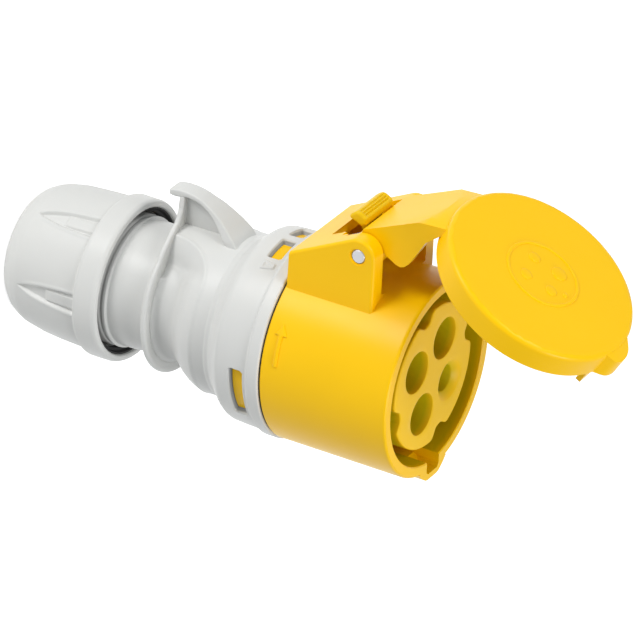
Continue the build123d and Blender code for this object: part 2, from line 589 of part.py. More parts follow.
def lock_slider():
    """The slider: a ribbed thumb pad that leans back over its slot, a neck through it and a foot below."""
    pad = side_slab([(42.75, 108.1), (44.7, 104.0), (45.2, 103.9), (46.6, 106.6), (46.75, 107.2),
                     (46.55, 107.75), (46.15, 107.7), (45.95, 108.1), (46.15, 108.45), (45.75, 108.75),
                     (45.35, 108.6), (45.2, 108.95), (45.35, 109.3), (44.9, 109.6), (44.5, 109.45),
                     (43.7, 109.65)], 7.4)
    neck = side_slab([along_roof(-4.9, 1.2), along_roof(-2.9, 1.2), along_roof(-2.9, -1.3),
                      along_roof(-5.0, -3.2), along_roof(-5.0, -4.6), along_roof(-6.6, -4.6),
                      along_roof(-6.6, -3.2), along_roof(-4.9, -1.6)], 4.0)
    foot = side_slab([along_roof(-8.0, -3.15), along_roof(-5.0, -3.15), along_roof(-5.0, -4.6),
                      along_roof(-8.0, -4.6)], 9.6)
    seat = side_slab([along_roof(-8.0, -4.5), along_roof(-5.4, -4.5), along_roof(-7.0, -7.0),
                      along_roof(-8.0, -7.0)], 2.6)
    return pad + neck + foot + seat


def slider_spring():
    """The spring that pushes the slider forward, drawn at its shortest length."""
    y, z = along_roof(-8.02 - SLIDER_SPRING_L, -5.1)
    lean = 90 - degrees(ROOF_ANGLE)
    return Pos(0, y, z) * Rot(-lean, 0, 0) * ring(1.0, 1.8, 0.0, SLIDER_SPRING_L)


BODIES = {
    "rear_housing": rear_housing(),
    "gland_nut": gland_nut(),
    "clamp_ring": clamp_ring(),
    "gland_seal": gland_seal(),
    "thrust_washer": thrust_washer(),
    "front_housing": front_housing(),
    "contact_carrier": contact_carrier(),
    "carrier_plate": carrier_plate(),
    "carrier_screws": carrier_screws(),
    "retaining_ring": retaining_ring(),
    "contact_l1": phase_contact("l1"),
    "contact_l2": phase_contact("l2"),
    "contact_l3": phase_contact("l3"),
    "contact_pe": contact(EARTH_ANGLE, EARTH_SLEEVE_R, EARTH_PIN_R, 119.2)
    - clip_grooves(EARTH_ANGLE, EARTH_SLEEVE_R),
    "contact_springs": contact_springs(),
    "terminal_screws": terminal_screws(),
    "housing_seal": housing_seal(),
    "lid": lid(),
    "lid_gasket": lid_gasket(),
    "hinge_pin": hinge_pin(),
    "lid_spring": lid_spring(),
    "lock_slider": lock_slider(),
    "slider_spring": slider_spring(),
}

for name, shape in BODIES.items():
    export_step(shape, f"parts/{name}.step")
    bb = shape.bounding_box()
    print(f"{name:18s} vol {shape.volume:9.1f} solids {len(shape.solids())} valid {shape.is_valid}"
          f" x {bb.min.X:7.2f} {bb.max.X:7.2f} y {bb.min.Y:7.2f} {bb.max.Y:7.2f}"
          f" z {bb.min.Z:7.2f} {bb.max.Z:7.2f}")
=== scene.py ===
import json
import math

import bmesh
import bpy
import numpy as np
from mathutils import Matrix, Vector


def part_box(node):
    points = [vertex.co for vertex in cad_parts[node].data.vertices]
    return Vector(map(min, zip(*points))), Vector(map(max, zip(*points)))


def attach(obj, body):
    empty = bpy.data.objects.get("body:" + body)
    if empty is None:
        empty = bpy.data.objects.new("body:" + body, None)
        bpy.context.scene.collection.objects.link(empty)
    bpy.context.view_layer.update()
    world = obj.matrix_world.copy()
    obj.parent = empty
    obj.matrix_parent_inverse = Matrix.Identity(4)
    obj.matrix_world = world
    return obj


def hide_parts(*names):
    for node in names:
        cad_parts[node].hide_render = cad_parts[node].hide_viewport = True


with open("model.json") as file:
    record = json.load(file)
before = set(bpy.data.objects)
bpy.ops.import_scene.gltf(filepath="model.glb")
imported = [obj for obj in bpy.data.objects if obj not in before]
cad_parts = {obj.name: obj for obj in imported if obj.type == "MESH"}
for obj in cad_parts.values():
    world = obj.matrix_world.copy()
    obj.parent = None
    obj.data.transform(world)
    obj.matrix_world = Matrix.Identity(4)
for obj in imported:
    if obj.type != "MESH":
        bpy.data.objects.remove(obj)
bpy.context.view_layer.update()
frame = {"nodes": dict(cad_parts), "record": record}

# The dressed model of an industrial power coupler. Metres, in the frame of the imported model:
# Z runs along the axis and out of the mouth, +Y is the side of the lid's hinge.

MM = 0.001

# Driving sizes, the same as the solids have: millimetres, and angles in degrees from +X unless said
PIN_Y, PIN_Z = 39.2, 112.75
LID_OPEN = 59.1
LID_FACE_Z = 138.5
SHELL_R = 28.7
LIP_R, LIP_Z = 29.2, 90.3
SHOULDER_Z = 90.75
FLANGE_R = 28.2
FLANGE_BORE_R = 26.0
BARREL_R = 25.75
BODY_R, BODY_BORE_R = 23.4, 20.9
NECK_R = 17.7
SPIGOT_R, SPIGOT_BORE_R = 19.0, 15.2
NUT_BORE_R, NUT_SIDE_R = 19.65, 22.3
THREAD_H, THREAD_PITCH, THREAD_FADE = 0.3, 2.0, 0.8
NUT_THREAD_Z, SPIGOT_THREAD_Z = (14.6, 28.6), (13.6, 29.6)
PLATE_Z, PLATE_T = 48.4, 1.6
CHANNEL_END, CHANNEL_SWEEP_R = 139.0, 27.0
FACE_Z = 128.6
CARRIER_FOOT_R, CARRIER_FOOT_Z, CARRIER_LOW_Z = 22.5, 90.4, 84.1
POLE_CIRCLE_R = 10.8
# Each pole's angle, sleeve radius and hole radius, the earth pole last
POLES = ((60.0, 4.3, 6.0), (150.0, 4.3, 6.0), (240.0, 4.3, 6.0), (-30.0, 4.9, 6.1))
EARTH_CONE_DEPTH = 1.75
# Each bayonet window's two ends round the flange, and the heights of all
WINDOWS = ((70.0, 86.5), (92.0, 110.0), (179.0, 213.0), (-33.0, 1.0))
WINDOW_Z = (80.7, 85.1)
WINDOW_CORNER = 0.9
LOCK_MARK, LOCK_MARK_Z = 116.0, 82.9
ROOF_TILT = math.radians(63.38384)
ROOF_Y, ROOF_Z = 43.71484, 110.48754

# Sizes that only the looks have, in millimetres and degrees
SKIN_CREASE, SLIDER_CREASE, CARRIER_CREASE = 32.0, 50.0, 40.0
FLUTE_DEPTH, FLUTE_RIM, FLUTE_PAD = 0.95, 0.14, 0.5
PAD_HALF_WIDTH, PAD_END_EASE = 7.4, 0.9
PAD_GROOVES, PAD_GROOVE_WIDTH, PAD_GROOVE_DEPTH = (0.0, 0.85, 1.7), 0.27, 0.42
EMBLEM_R, EMBLEM_POLE_R, EMBLEM_KEY_Y = 10.6, 5.6, -8.2
RELIEF_HEIGHT, RELIEF_ROOT = 0.3, 0.3
ARROW_FROM, ARROW_Z = 169.5, 95.1
EVEN_TURN = np.radians(np.arange(0.0, 360.0, 2.0))

# Pattern scales per metre, and depths in metres
GRAIN_SCALE, WAVE_SCALE, TONE_SCALE, POLISH_SCALE = 4000.0, 110.0, 70.0, 200.0
RING_SCALE, RING_SQUEEZE, RING_GLOSS, STAIN_SCALE = 9000.0, 0.03, 0.15, 300.0
BUMP_DEPTH = 0.05 * MM
# Painted shade in the recesses fades in over these distances
PAINTED_SHADE_SIDE_FADE, PAINTED_SHADE_TOP_FADE = 0.4 * MM, 2.0 * MM


# Geometry helpers

def mesh_piece(name, verts, faces):
    """A mesh object from a vertex array and a face list."""
    mesh = bpy.data.meshes.new(name)
    mesh.from_pydata(np.asarray(verts).tolist(), [], np.asarray(faces).tolist())
    mesh.update()
    piece = bpy.data.objects.new(name, mesh)
    bpy.context.scene.collection.objects.link(piece)
    return piece


def finish_mesh(mesh, crease):
    """Smooth shading, with edges sharper than crease degrees, where given, marked sharp."""
    mesh.polygons.foreach_set("use_smooth", np.full(len(mesh.polygons), True))
    if crease:
        mesh.set_sharp_from_angle(angle=math.radians(crease))
    mesh.update()


def weigh_normals(piece):
    """Large faces lead the shading, so that a flat stays flat beside its rounding."""
    weigh = piece.modifiers.new("weighted", "WEIGHTED_NORMAL")
    weigh.keep_sharp = True
    weigh.weight = 90


def smooth_copy(node):
    """A merged and smooth-shaded copy of a solid's mesh, in the row frame."""
    source = frame["nodes"][node]
    mesh = source.data.copy()
    mesh.transform(source.matrix_world)
    mesh.name = node + "_skin"
    if "custom_normal" in mesh.attributes:
        mesh.attributes.remove(mesh.attributes["custom_normal"])
    work = bmesh.new()
    work.from_mesh(mesh)
    bmesh.ops.remove_doubles(work, verts=work.verts, dist=0.002 * MM)
    bmesh.ops.dissolve_degenerate(work, dist=0.001 * MM, edges=work.edges)
    work.to_mesh(mesh)
    work.free()
    piece = bpy.data.objects.new(node + "_skin", mesh)
    bpy.context.scene.collection.objects.link(piece)
    finish_mesh(mesh, SKIN_CREASE)
    weigh_normals(piece)
    return piece


def grid_faces(rows, columns, wrap_rows, wrap_columns):
    """The four-sided faces of a grid of points; a wrapped side joins its last line to its first."""
    r, c = np.meshgrid(np.arange(rows if wrap_rows else rows - 1),
                       np.arange(columns if wrap_columns else columns - 1), indexing="ij")
    r_next, c_next = (r + 1) % rows, (c + 1) % columns
    return np.stack((r * columns + c, r * columns + c_next, r_next * columns + c_next, r_next * columns + c),
                    axis=-1).reshape(-1, 4)


def surface_piece(name, points, wrap_rows=True, wrap_columns=True, crease=None):
    """A closed surface from a grid of points in millimetres (rows x columns x 3).

    The faces are turned outwards by the sign of the volume they enclose, and rows that shrink to a
    point are merged into a closed pole."""
    rows, columns = points.shape[:2]
    faces = grid_faces(rows, columns, wrap_rows, wrap_columns)
    flat = points.reshape(-1, 3) * MM
    a, b, c, d = (flat[faces[:, k]] for k in range(4))
    if np.sum(a * (np.cross(b, c) + np.cross(c, d))) < 0:
        faces = faces[:, ::-1]
    piece = mesh_piece(name, flat, faces)
    work = bmesh.new()
    work.from_mesh(piece.data)
    bmesh.ops.remove_doubles(work, verts=work.verts, dist=0.0005 * MM)
    work.to_mesh(piece.data)
    work.free()
    finish_mesh(piece.data, crease)
    return piece


def resampled(points, step):
    """Points at equal steps along an open line."""
    points = np.asarray(points, float)
    length = np.concatenate(([0.0], np.cumsum(np.linalg.norm(np.diff(points, axis=0), axis=1))))
    at = np.linspace(0.0, length[-1], max(2, int(round(length[-1] / step)) + 1))
    return np.stack([np.interp(at, length, points[:, k]) for k in range(points.shape[1])], axis=-1)


def softened_loop(points, step, soft):
    """A closed outline at equal steps, every corner rounded by averaging over a bell curve soft wide."""
    ring = resampled(list(points) + [points[0]], step)[:-1]
    reach = int(math.ceil(3 * soft / step))
    offsets = np.arange(-reach, reach + 1)
    weights = np.exp(-0.5 * (offsets * step / soft) ** 2)
    weights /= weights.sum()
    return sum(w * np.roll(ring, -k, axis=0) for k, w in zip(offsets, weights))


def turned_grid(radius, height, angles):
    """A surface of revolution: x = radius cos(angle), y = radius sin(angle), z = height, all as grids."""
    return np.stack((radius * np.cos(angles), radius * np.sin(angles), height + 0.0 * angles), axis=-1)


def ramp(value, low, high):
    """0 below low, 1 above high, and a smooth S between."""
    t = np.clip((value - low) / (high - low), 0.0, 1.0)
    return t * t * (3.0 - 2.0 * t)


def bell(value, middle, width):
    """A smooth hump of height 1."""
    return np.exp(-((value - middle) / width) ** 2)


def corner_walk(steps):
    """The way round a rounded rectangle: each point's corner as two signs, and its angle about that corner."""
    side = np.repeat((1.0, -1.0, -1.0, 1.0), steps + 1)
    up = np.repeat((1.0, 1.0, -1.0, -1.0), steps + 1)
    turn = np.radians(np.concatenate([np.linspace(0.0, 90.0, steps + 1) + 90.0 * k for k in range(4)]))
    return side, up, turn


def tube_section(half_x, half_y, corner, steps=4):
    """A rounded rectangle as (x, y) points: four quarter circles set apart to the given half sizes."""
    side, up, turn = corner_walk(steps)
    return np.stack((side * (half_x - corner) + corner * np.cos(turn),
                     up * (half_y - corner) + corner * np.sin(turn)), axis=-1)


def turned_points(section, angle):
    """A section of (radius, height) points turned about Z: each point goes round at its own radius."""
    return turned_grid(section[:, :1] + 0.0 * angle, section[:, 1:] + 0.0 * angle, angle)


def closed_end(row):
    """A row shrunk to its middle, which closes an open end."""
    return np.repeat(row.mean(axis=0)[None, None, :], len(row), axis=1)


def thread_rise(angle, height, ends):
    """A thread's rise: its height x a triangle wave of (height - pitch x turn), faded in at both ends."""
    step = ((height - THREAD_PITCH * angle / (2.0 * np.pi)) / THREAD_PITCH) % 1.0
    fade = ramp(height, ends[0], ends[0] + THREAD_FADE) * ramp(ends[1] - height, 0.0, THREAD_FADE)
    return fade * THREAD_H * (1.0 - np.abs(2.0 * step - 1.0))


def coil_piece(name, centre, along, across, radius, wire, turns, length):
    """A coil spring: a round wire carried along a helix.

    Centre line = centre + along x length x t + radius x (across cos + side sin) of 2 pi turns t; the
    section is a circle in the plane of the radius and the coil's axis."""
    along, across = np.asarray(along, float), np.asarray(across, float)
    side = np.cross(along, across)
    t = np.linspace(0.0, 1.0, int(turns * 40))  # forty steps a turn
    turn = 2.0 * np.pi * turns * t
    outward = np.cos(turn)[:, None] * across + np.sin(turn)[:, None] * side
    line = np.asarray(centre, float) + (length * t)[:, None] * along + radius * outward
    ring = np.linspace(0.0, 2.0 * np.pi, 12, endpoint=False)
    size = np.concatenate(([0.0, 0.7], np.ones(len(t) - 4), [0.7, 0.0]))[:, None, None] * wire
    points = line[:, None, :] + size * (np.cos(ring)[None, :, None] * outward[:, None, :]
                                        + np.sin(ring)[None, :, None] * along)
    return surface_piece(name, points, wrap_rows=False)


# Materials

def group_tree(name, inputs, outputs):
    """An empty shader node group with named sockets."""
    tree = bpy.data.node_groups.new(name, "ShaderNodeTree")
    for label, kind, value in inputs:
        tree.interface.new_socket(name=label, in_out="INPUT", socket_type=kind).default_value = value
    for label, kind in outputs:
        tree.interface.new_socket(name=label, in_out="OUTPUT", socket_type=kind)
    enter = tree.nodes.new("NodeGroupInput")
    leave = tree.nodes.new("NodeGroupOutput")
    return tree, enter, leave


def math_node(tree, operation, a, b=None, clamp=False):
    """One math node; a and b are sockets or numbers."""
    node = tree.nodes.new("ShaderNodeMath")
    node.operation = operation
    node.use_clamp = clamp
    for slot, value in zip(node.inputs, (a,) if b is None else (a, b)):
        if isinstance(value, (int, float)):
            slot.default_value = value
        else:
            tree.links.new(value, slot)
    return node.outputs[0]


def noise_node(tree, vector, scale, detail, rough=0.5):
    """A noise pattern on the given coordinates; scale is per metre."""
    node = tree.nodes.new("ShaderNodeTexNoise")
    node.inputs["Scale"].default_value = scale
    node.inputs["Detail"].default_value = detail
    node.inputs["Roughness"].default_value = rough
    tree.links.new(vector, node.inputs["Vector"])
    return node.outputs["Fac"]


def painted_shade_mask(tree, where, enter):
    """Where shade is painted into the colour: 1 inside the cylinder about Z between the painted shade's floor and top,
    faded in sideways and down from the top.
    """
    parts = tree.nodes.new("ShaderNodeSeparateXYZ")
    tree.links.new(where, parts.inputs[0])
    across = math_node(tree, "SQRT", math_node(tree, "ADD", math_node(tree, "POWER", parts.outputs[0], 2.0),
                                               math_node(tree, "POWER", parts.outputs[1], 2.0)))
    side = math_node(tree, "DIVIDE", math_node(tree, "SUBTRACT", enter.outputs["Inner Radius"], across),
                     PAINTED_SHADE_SIDE_FADE, clamp=True)
    down = math_node(tree, "DIVIDE", math_node(tree, "SUBTRACT", enter.outputs["Painted Shade Top"], parts.outputs[2]),
                     PAINTED_SHADE_TOP_FADE, clamp=True)
    above = math_node(tree, "GREATER_THAN", parts.outputs[2], enter.outputs["Painted Shade Floor"])
    return math_node(tree, "MULTIPLY", math_node(tree, "MULTIPLY", side, down), above)


def moulded_surface():
    """Moulded plastic: fine spark grain, slow flow waves and a little handling polish.

    Height = grain x noise at 0.25 mm + waves x noise at 9 mm. Tone = 1 +- tone x noise at 14 mm.
    Gloss shift = polish x noise at 5 mm. Inside a cylinder about Z, between two heights, the colour
    goes over to colour x painted shade: shade painted into the colour of deep walls and recesses."""
    tree, enter, leave = group_tree(
        "moulded surface",
        [("Colour", "NodeSocketColor", (0.8, 0.8, 0.8, 1.0)), ("Grain", "NodeSocketFloat", 0.4),
         ("Waves", "NodeSocketFloat", 0.5), ("Tone", "NodeSocketFloat", 0.03),
         ("Roughness", "NodeSocketFloat", 0.35), ("Polish", "NodeSocketFloat", 0.06),
         ("Painted Shade", "NodeSocketColor", (1.0, 1.0, 1.0, 1.0)), ("Inner Radius", "NodeSocketFloat", 0.0),
         ("Painted Shade Floor", "NodeSocketFloat", 0.0), ("Painted Shade Top", "NodeSocketFloat", 0.0)],
        [("Colour", "NodeSocketColor"), ("Roughness", "NodeSocketFloat"), ("Height", "NodeSocketFloat")])
    where = tree.nodes.new("ShaderNodeTexCoord").outputs["Object"]
    inside = painted_shade_mask(tree, where, enter)
    grain = noise_node(tree, where, GRAIN_SCALE, 2.0)
    waves = noise_node(tree, where, WAVE_SCALE, 2.0)
    cloud = noise_node(tree, where, TONE_SCALE, 3.0)
    wear = noise_node(tree, where, POLISH_SCALE, 4.0, 0.6)
    height = math_node(tree, "ADD", math_node(tree, "MULTIPLY", grain, enter.outputs["Grain"]),
                       math_node(tree, "MULTIPLY", waves, enter.outputs["Waves"]))
    tree.links.new(height, leave.inputs["Height"])
    centred = math_node(tree, "SUBTRACT", cloud, 0.5)
    tone = math_node(tree, "ADD", 1.0, math_node(tree, "MULTIPLY", centred, enter.outputs["Tone"]))
    scale = tree.nodes.new("ShaderNodeVectorMath")
    scale.operation = "SCALE"
    tree.links.new(enter.outputs["Colour"], scale.inputs[0])
    tree.links.new(tone, scale.inputs["Scale"])
    # Painted shade: inside the mask the colour is multiplied by the shade colour
    painted_shade_mix = tree.nodes.new("ShaderNodeMix")
    painted_shade_mix.data_type = "RGBA"
    painted_shade_mix.blend_type = "MULTIPLY"
    tree.links.new(inside, painted_shade_mix.inputs["Factor"])
    tree.links.new(scale.outputs[0], painted_shade_mix.inputs[6])
    tree.links.new(enter.outputs["Painted Shade"], painted_shade_mix.inputs[7])
    tree.links.new(painted_shade_mix.outputs[2], leave.inputs["Colour"])
    shift = math_node(tree, "MULTIPLY", math_node(tree, "SUBTRACT", wear, 0.5), enter.outputs["Polish"])
    tree.links.new(math_node(tree, "ADD", enter.outputs["Roughness"], shift, clamp=True), leave.inputs["Roughness"])
    return tree


def turned_surface():
    """Turned metal: fine rings across Z, a slow stain and a gloss that follows the rings."""
    tree, enter, leave = group_tree(
        "turned surface",
        [("Colour", "NodeSocketColor", (0.7, 0.6, 0.3, 1.0)), ("Stain", "NodeSocketFloat", 0.2),
         ("Roughness", "NodeSocketFloat", 0.3)],
        [("Colour", "NodeSocketColor"), ("Roughness", "NodeSocketFloat"), ("Height", "NodeSocketFloat")])
    where = tree.nodes.new("ShaderNodeTexCoord").outputs["Object"]
    squeeze = tree.nodes.new("ShaderNodeMapping")
    squeeze.inputs["Scale"].default_value = (RING_SQUEEZE, RING_SQUEEZE, 1.0)
    tree.links.new(where, squeeze.inputs["Vector"])
    rings = noise_node(tree, squeeze.outputs[0], RING_SCALE, 2.0)
    stain = noise_node(tree, where, STAIN_SCALE, 4.0, 0.6)
    tree.links.new(rings, leave.inputs["Height"])
    tone = math_node(tree, "SUBTRACT", 1.0, math_node(tree, "MULTIPLY", stain, enter.outputs["Stain"]))
    scale = tree.nodes.new("ShaderNodeVectorMath")
    scale.operation = "SCALE"
    tree.links.new(enter.outputs["Colour"], scale.inputs[0])
    tree.links.new(tone, scale.inputs["Scale"])
    tree.links.new(scale.outputs[0], leave.inputs["Colour"])
    shift = math_node(tree, "MULTIPLY", math_node(tree, "SUBTRACT", rings, 0.5), RING_GLOSS)
    tree.links.new(math_node(tree, "ADD", enter.outputs["Roughness"], shift, clamp=True), leave.inputs["Roughness"])
    return tree


def linear(red, green, blue):
    """Screen colour 0 to 255 as linear light."""
    value = np.array([red, green, blue]) / 255.0
    low, high = value / 12.92, ((value + 0.055) / 1.055) ** 2.4
    return tuple(np.where(value <= 0.04045, low, high)) + (1.0,)


def material_from(name, group, values, bump, fixed):
    """A material whose colour, gloss and bump come from one shared group; fixed holds plain shader values."""
    material = bpy.data.materials.new(name)
    material.use_nodes = True
    tree = material.node_tree
    shader = next(n for n in tree.nodes if n.type == "BSDF_PRINCIPLED")
    effect = tree.nodes.new("ShaderNodeGroup")
    effect.node_tree = group
    for label, value in values.items():
        effect.inputs[label].default_value = value
    for label, value in fixed.items():
        shader.inputs[label].default_value = value
    tree.links.new(effect.outputs["Colour"], shader.inputs["Base Color"])
    tree.links.new(effect.outputs["Roughness"], shader.inputs["Roughness"])
    relief = tree.nodes.new("ShaderNodeBump")
    relief.inputs["Strength"].default_value = bump
    relief.inputs["Distance"].default_value = BUMP_DEPTH
    tree.links.new(effect.outputs["Height"], relief.inputs["Height"])
    tree.links.new(relief.outputs["Normal"], shader.inputs["Normal"])
    return material


PLASTIC = moulded_surface()
METAL = turned_surface()

# Painted shade: inside the shell's bore, below the mouth's rim, the yellow is darkened and made more olive
YELLOW = material_from("yellow plastic", PLASTIC, {"Colour": linear(255, 201, 0), "Grain": 0.5, "Waves": 0.5,
                       "Tone": 0.05, "Roughness": 0.34, "Polish": 0.08, "Painted Shade": (0.68, 0.88, 0.4, 1.0),
                       "Inner Radius": 25.75 * MM, "Painted Shade Floor": 92.0 * MM, "Painted Shade Top": 129.8 * MM}, 0.35,
                       {"Specular IOR Level": 0.2})
# Painted shade: the window walls inside the flange's bore are darkened to a cool grey
GREY = material_from("light grey plastic", PLASTIC, {"Colour": linear(216, 216, 213), "Grain": 0.5, "Waves": 0.5,
                     "Tone": 0.04, "Roughness": 0.36, "Polish": 0.08, "Painted Shade": (0.55, 0.57, 0.6, 1.0),
                     "Inner Radius": 27.8 * MM, "Painted Shade Floor": 79.6 * MM, "Painted Shade Top": 90.0 * MM}, 0.35,
                     {"Specular IOR Level": 0.25})
# Painted shade: the contact holes below the carrier's face are darkened
CARRIER = material_from("yellow insert plastic", PLASTIC, {"Colour": linear(255, 205, 16), "Grain": 0.6, "Waves": 0.4,
                        "Tone": 0.05, "Roughness": 0.42, "Polish": 0.08, "Painted Shade": (0.64, 0.85, 0.5, 1.0),
                        "Inner Radius": 30.0 * MM, "Painted Shade Floor": 80.0 * MM, "Painted Shade Top": 128.3 * MM}, 0.4,
                        {"Specular IOR Level": 0.2})
# Painted shade: the slider is the yellow plastic painted darker and less orange, as it looks in shade
SHADED_SLIDER_YELLOW = material_from("yellow slider plastic with painted shade", PLASTIC, {"Colour": linear(236, 194, 4), "Grain": 0.6, "Waves": 0.4,
                       "Tone": 0.05, "Roughness": 0.38, "Polish": 0.08}, 0.4, {"Specular IOR Level": 0.2})
DARK = material_from("dark plastic", PLASTIC, {"Colour": linear(66, 66, 68), "Grain": 0.8, "Waves": 0.3,
                     "Tone": 0.1, "Roughness": 0.5, "Polish": 0.1}, 0.5, {"Specular IOR Level": 0.22})
RUBBER = material_from("black rubber", PLASTIC, {"Colour": linear(48, 48, 48), "Grain": 1.0, "Waves": 0.2,
                       "Tone": 0.15, "Roughness": 0.7, "Polish": 0.12}, 0.6, {"Specular IOR Level": 0.3})
BRASS = material_from("brass", METAL, {"Colour": linear(205, 168, 92), "Stain": 0.25, "Roughness": 0.32}, 0.3,
                      {"Metallic": 1.0})
STEEL = material_from("steel", METAL, {"Colour": linear(190, 191, 194), "Stain": 0.2, "Roughness": 0.34}, 0.3,
                      {"Metallic": 1.0})

FINISH = {"grey_plastic": GREY, "yellow_plastic": YELLOW, "dark_plastic": DARK, "black_rubber": RUBBER,
          "brass": BRASS, "steel": STEEL}

SLOTS = {part["node"]: part["material_slot"] for part in frame["record"]["subparts"]}
BODY = {node: body for body, nodes in frame["record"]["behaviour"]["bodies"].items() for node in nodes}


def dress(piece, node, material=None, stands_for=True):
    """Gives a piece its finish and lets it ride and stand for its solid."""
    piece.data.materials.clear()
    piece.data.materials.append(material or FINISH[SLOTS[node]])
    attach(piece, BODY[node])
    if stands_for:
        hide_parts(node)
    return piece


# The gland nut

def nut_angles():
    """Six equal parts of the turn, with lines close together over each flute."""
    reach = 11.5
    part = np.concatenate((np.linspace(-reach, reach, 59), np.linspace(reach, 60.0 - reach, 15)[1:-1]))
    return np.radians(np.concatenate([part + 60.0 * k for k in range(6)]))


def gland_nut():
    """The fluted nut.

    Radius = softened outline of the cap - depth x flute + rim + pad, where the flute's half width
    grows from 0 at the rear to 3.3 mm at the collar, its rim stands a little proud and the pad
    stands up in it. The bore's radius = bore - the thread's rise."""
    r = NUT_SIDE_R
    dome = [(r - 7.3, 0.0), (r - 5.4, 0.55), (r - 3.75, 2.2), (r - 2.6, 4.3), (r - 1.8, 6.4), (r - 1.0, 11.0),
            (r - 0.4, 18.0), (r - 0.15, 23.0), (r + 0.05, 27.0)]
    collar = [(r + 1.05, 27.15), (r + 1.3, 27.8), (r + 1.25, 33.4), (r + 0.8, 34.4), (r, 34.6), (r - 0.6, 34.6)]
    inside = [(r - 1.0, 34.0), (r - 1.0, 31.5), (NUT_BORE_R, 30.6), (NUT_BORE_R, 10.0), (r - 5.5, 9.6),
              (r - 7.1, 3.2), (10.9, 3.2), (10.4, 2.7), (10.4, 0.6), (10.9, 0.0)]
    line = softened_loop(dome + collar + inside, 0.36, 0.22)
    line[:, 1] = np.maximum(line[:, 1], 0.0)
    angle = nut_angles()
    radius, height = line[:, :1] + 0.0 * angle, line[:, 1:] + 0.0 * angle
    outer = (line[:, :1] > NUT_BORE_R + 0.9) & (line[:, 1:] < 27.3)
    across = radius * np.sin((np.degrees(angle) + 30.0) % 60.0 * np.pi / 180.0 - np.pi / 6.0)
    half = np.interp(height, [7.0, 9.5, 12.5, 16.0, 21.0, 27.5], [-0.2, 0.9, 1.65, 2.3, 2.85, 3.3])
    flute = ramp(half - np.abs(across), -0.12, 0.75) * ramp(27.3 - height, 0.0, 0.35)
    rim = bell(np.abs(across), half + 0.5, 0.45) * ramp(height, 8.0, 13.0) * ramp(27.2 - height, 0.0, 0.4)
    pad = ramp(1.85 - np.abs(across), -0.25, 0.45) * ramp(height - 17.2, -0.3, 0.6) * ramp(27.3 - height, 0.0, 0.3)
    radius = radius + outer * (-FLUTE_DEPTH * flute + FLUTE_RIM * rim + FLUTE_PAD * pad)
    thread = (line[:, :1] < NUT_BORE_R + 0.1) & (line[:, 1:] > NUT_THREAD_Z[0]) & (line[:, 1:] < NUT_THREAD_Z[1])
    radius = radius - thread * thread_rise(angle, height, NUT_THREAD_Z)
    return surface_piece("gland_nut_body", turned_grid(radius, height, angle))


def nut_shade_ring():
    """A dark ring in the nut's mouth, painted shade for the deep gap between the collar and the neck: a flat section
    turned once round.
    """
    r = NUT_BORE_R
    section = softened_loop([(r + 0.1, 30.4), (r + 1.62, 31.2), (r + 1.62, 33.7), (r + 1.2, 33.7), (r + 0.9, 32.6),
                             (r + 0.1, 32.3)], 0.15, 0.06)
    return surface_piece("nut_shade_ring", turned_points(section, EVEN_TURN))


# The contact carrier

def carrier_outline(angle):
    """The face's radius by angle: a circle with four V-shaped notches with rounded corners."""
    off = np.abs((np.degrees(angle) - 15.0 + 45.0) % 90.0 - 45.0)
    return np.interp(off, [0.0, 2.5, 4.6, 6.0, 7.5, 9.0, 10.4, 11.6, 13.0],
                     [17.5, 17.55, 17.8, 18.2, 18.85, 19.5, 20.05, 20.38, 20.5])


def carrier_quarter(name, pole, profile):
    """A quarter of the carrier with one contact hole.

    Each row joins the hole's circle to the quarter's border on straight lines from the hole's middle:
    point = hole + (border - hole) x share. The border runs from the carrier's middle out along one
    ray, round the notched outline and back; profile gives the hole's radius by height."""
    outline = np.radians(np.arange(-45.0, 45.01, 1.0))
    spoke = np.linspace(0.0, 1.0, 14)[:-1]
    first = carrier_outline(np.radians(pole - 45.0))
    ray = np.concatenate((-np.pi / 4 + 0.0 * spoke, outline, np.pi / 4 + 0.0 * spoke[:-1]))
    reach = np.concatenate((spoke * first, carrier_outline(outline + math.radians(pole)), spoke[::-1][:-1] * first))
    on_edge = np.concatenate((0.0 * spoke, 1.0 + 0.0 * outline, 0.0 * spoke[:-1]))
    unit = np.stack((np.cos(ray), np.sin(ray)), axis=-1)
    hub = np.array((POLE_CIRCLE_R, 0.0))
    border = unit * reach[:, None]
    facing = (border - hub) / np.linalg.norm(border - hub, axis=1)[:, None]
    rows = [(hub + facing * radius, z) for radius, z in profile]
    rim = hub + facing * profile[-1][0]
    rows += [(rim + (border - rim) * share, FACE_Z) for share in (0.35, 0.7, 1.0)]
    rows += [(border + unit * (on_edge * out)[:, None], FACE_Z - drop) for out, drop in
             ((0.15, 0.03), (0.35, 0.15), (0.47, 0.35), (0.5, 0.6), (0.5, FACE_Z - CARRIER_FOOT_Z))]
    foot = unit * np.where(on_edge > 0, CARRIER_FOOT_R, reach)[:, None]
    rows += [(foot, CARRIER_FOOT_Z), (foot, CARRIER_LOW_Z)]
    flat = np.stack([np.concatenate((xy, np.full((len(ray), 1), z)), axis=1) for xy, z in rows])
    turn = math.radians(pole)
    points = flat.copy()
    points[..., 0] = flat[..., 0] * math.cos(turn) - flat[..., 1] * math.sin(turn)
    points[..., 1] = flat[..., 0] * math.sin(turn) + flat[..., 1] * math.cos(turn)
    return surface_piece(name, points, crease=CARRIER_CREASE)


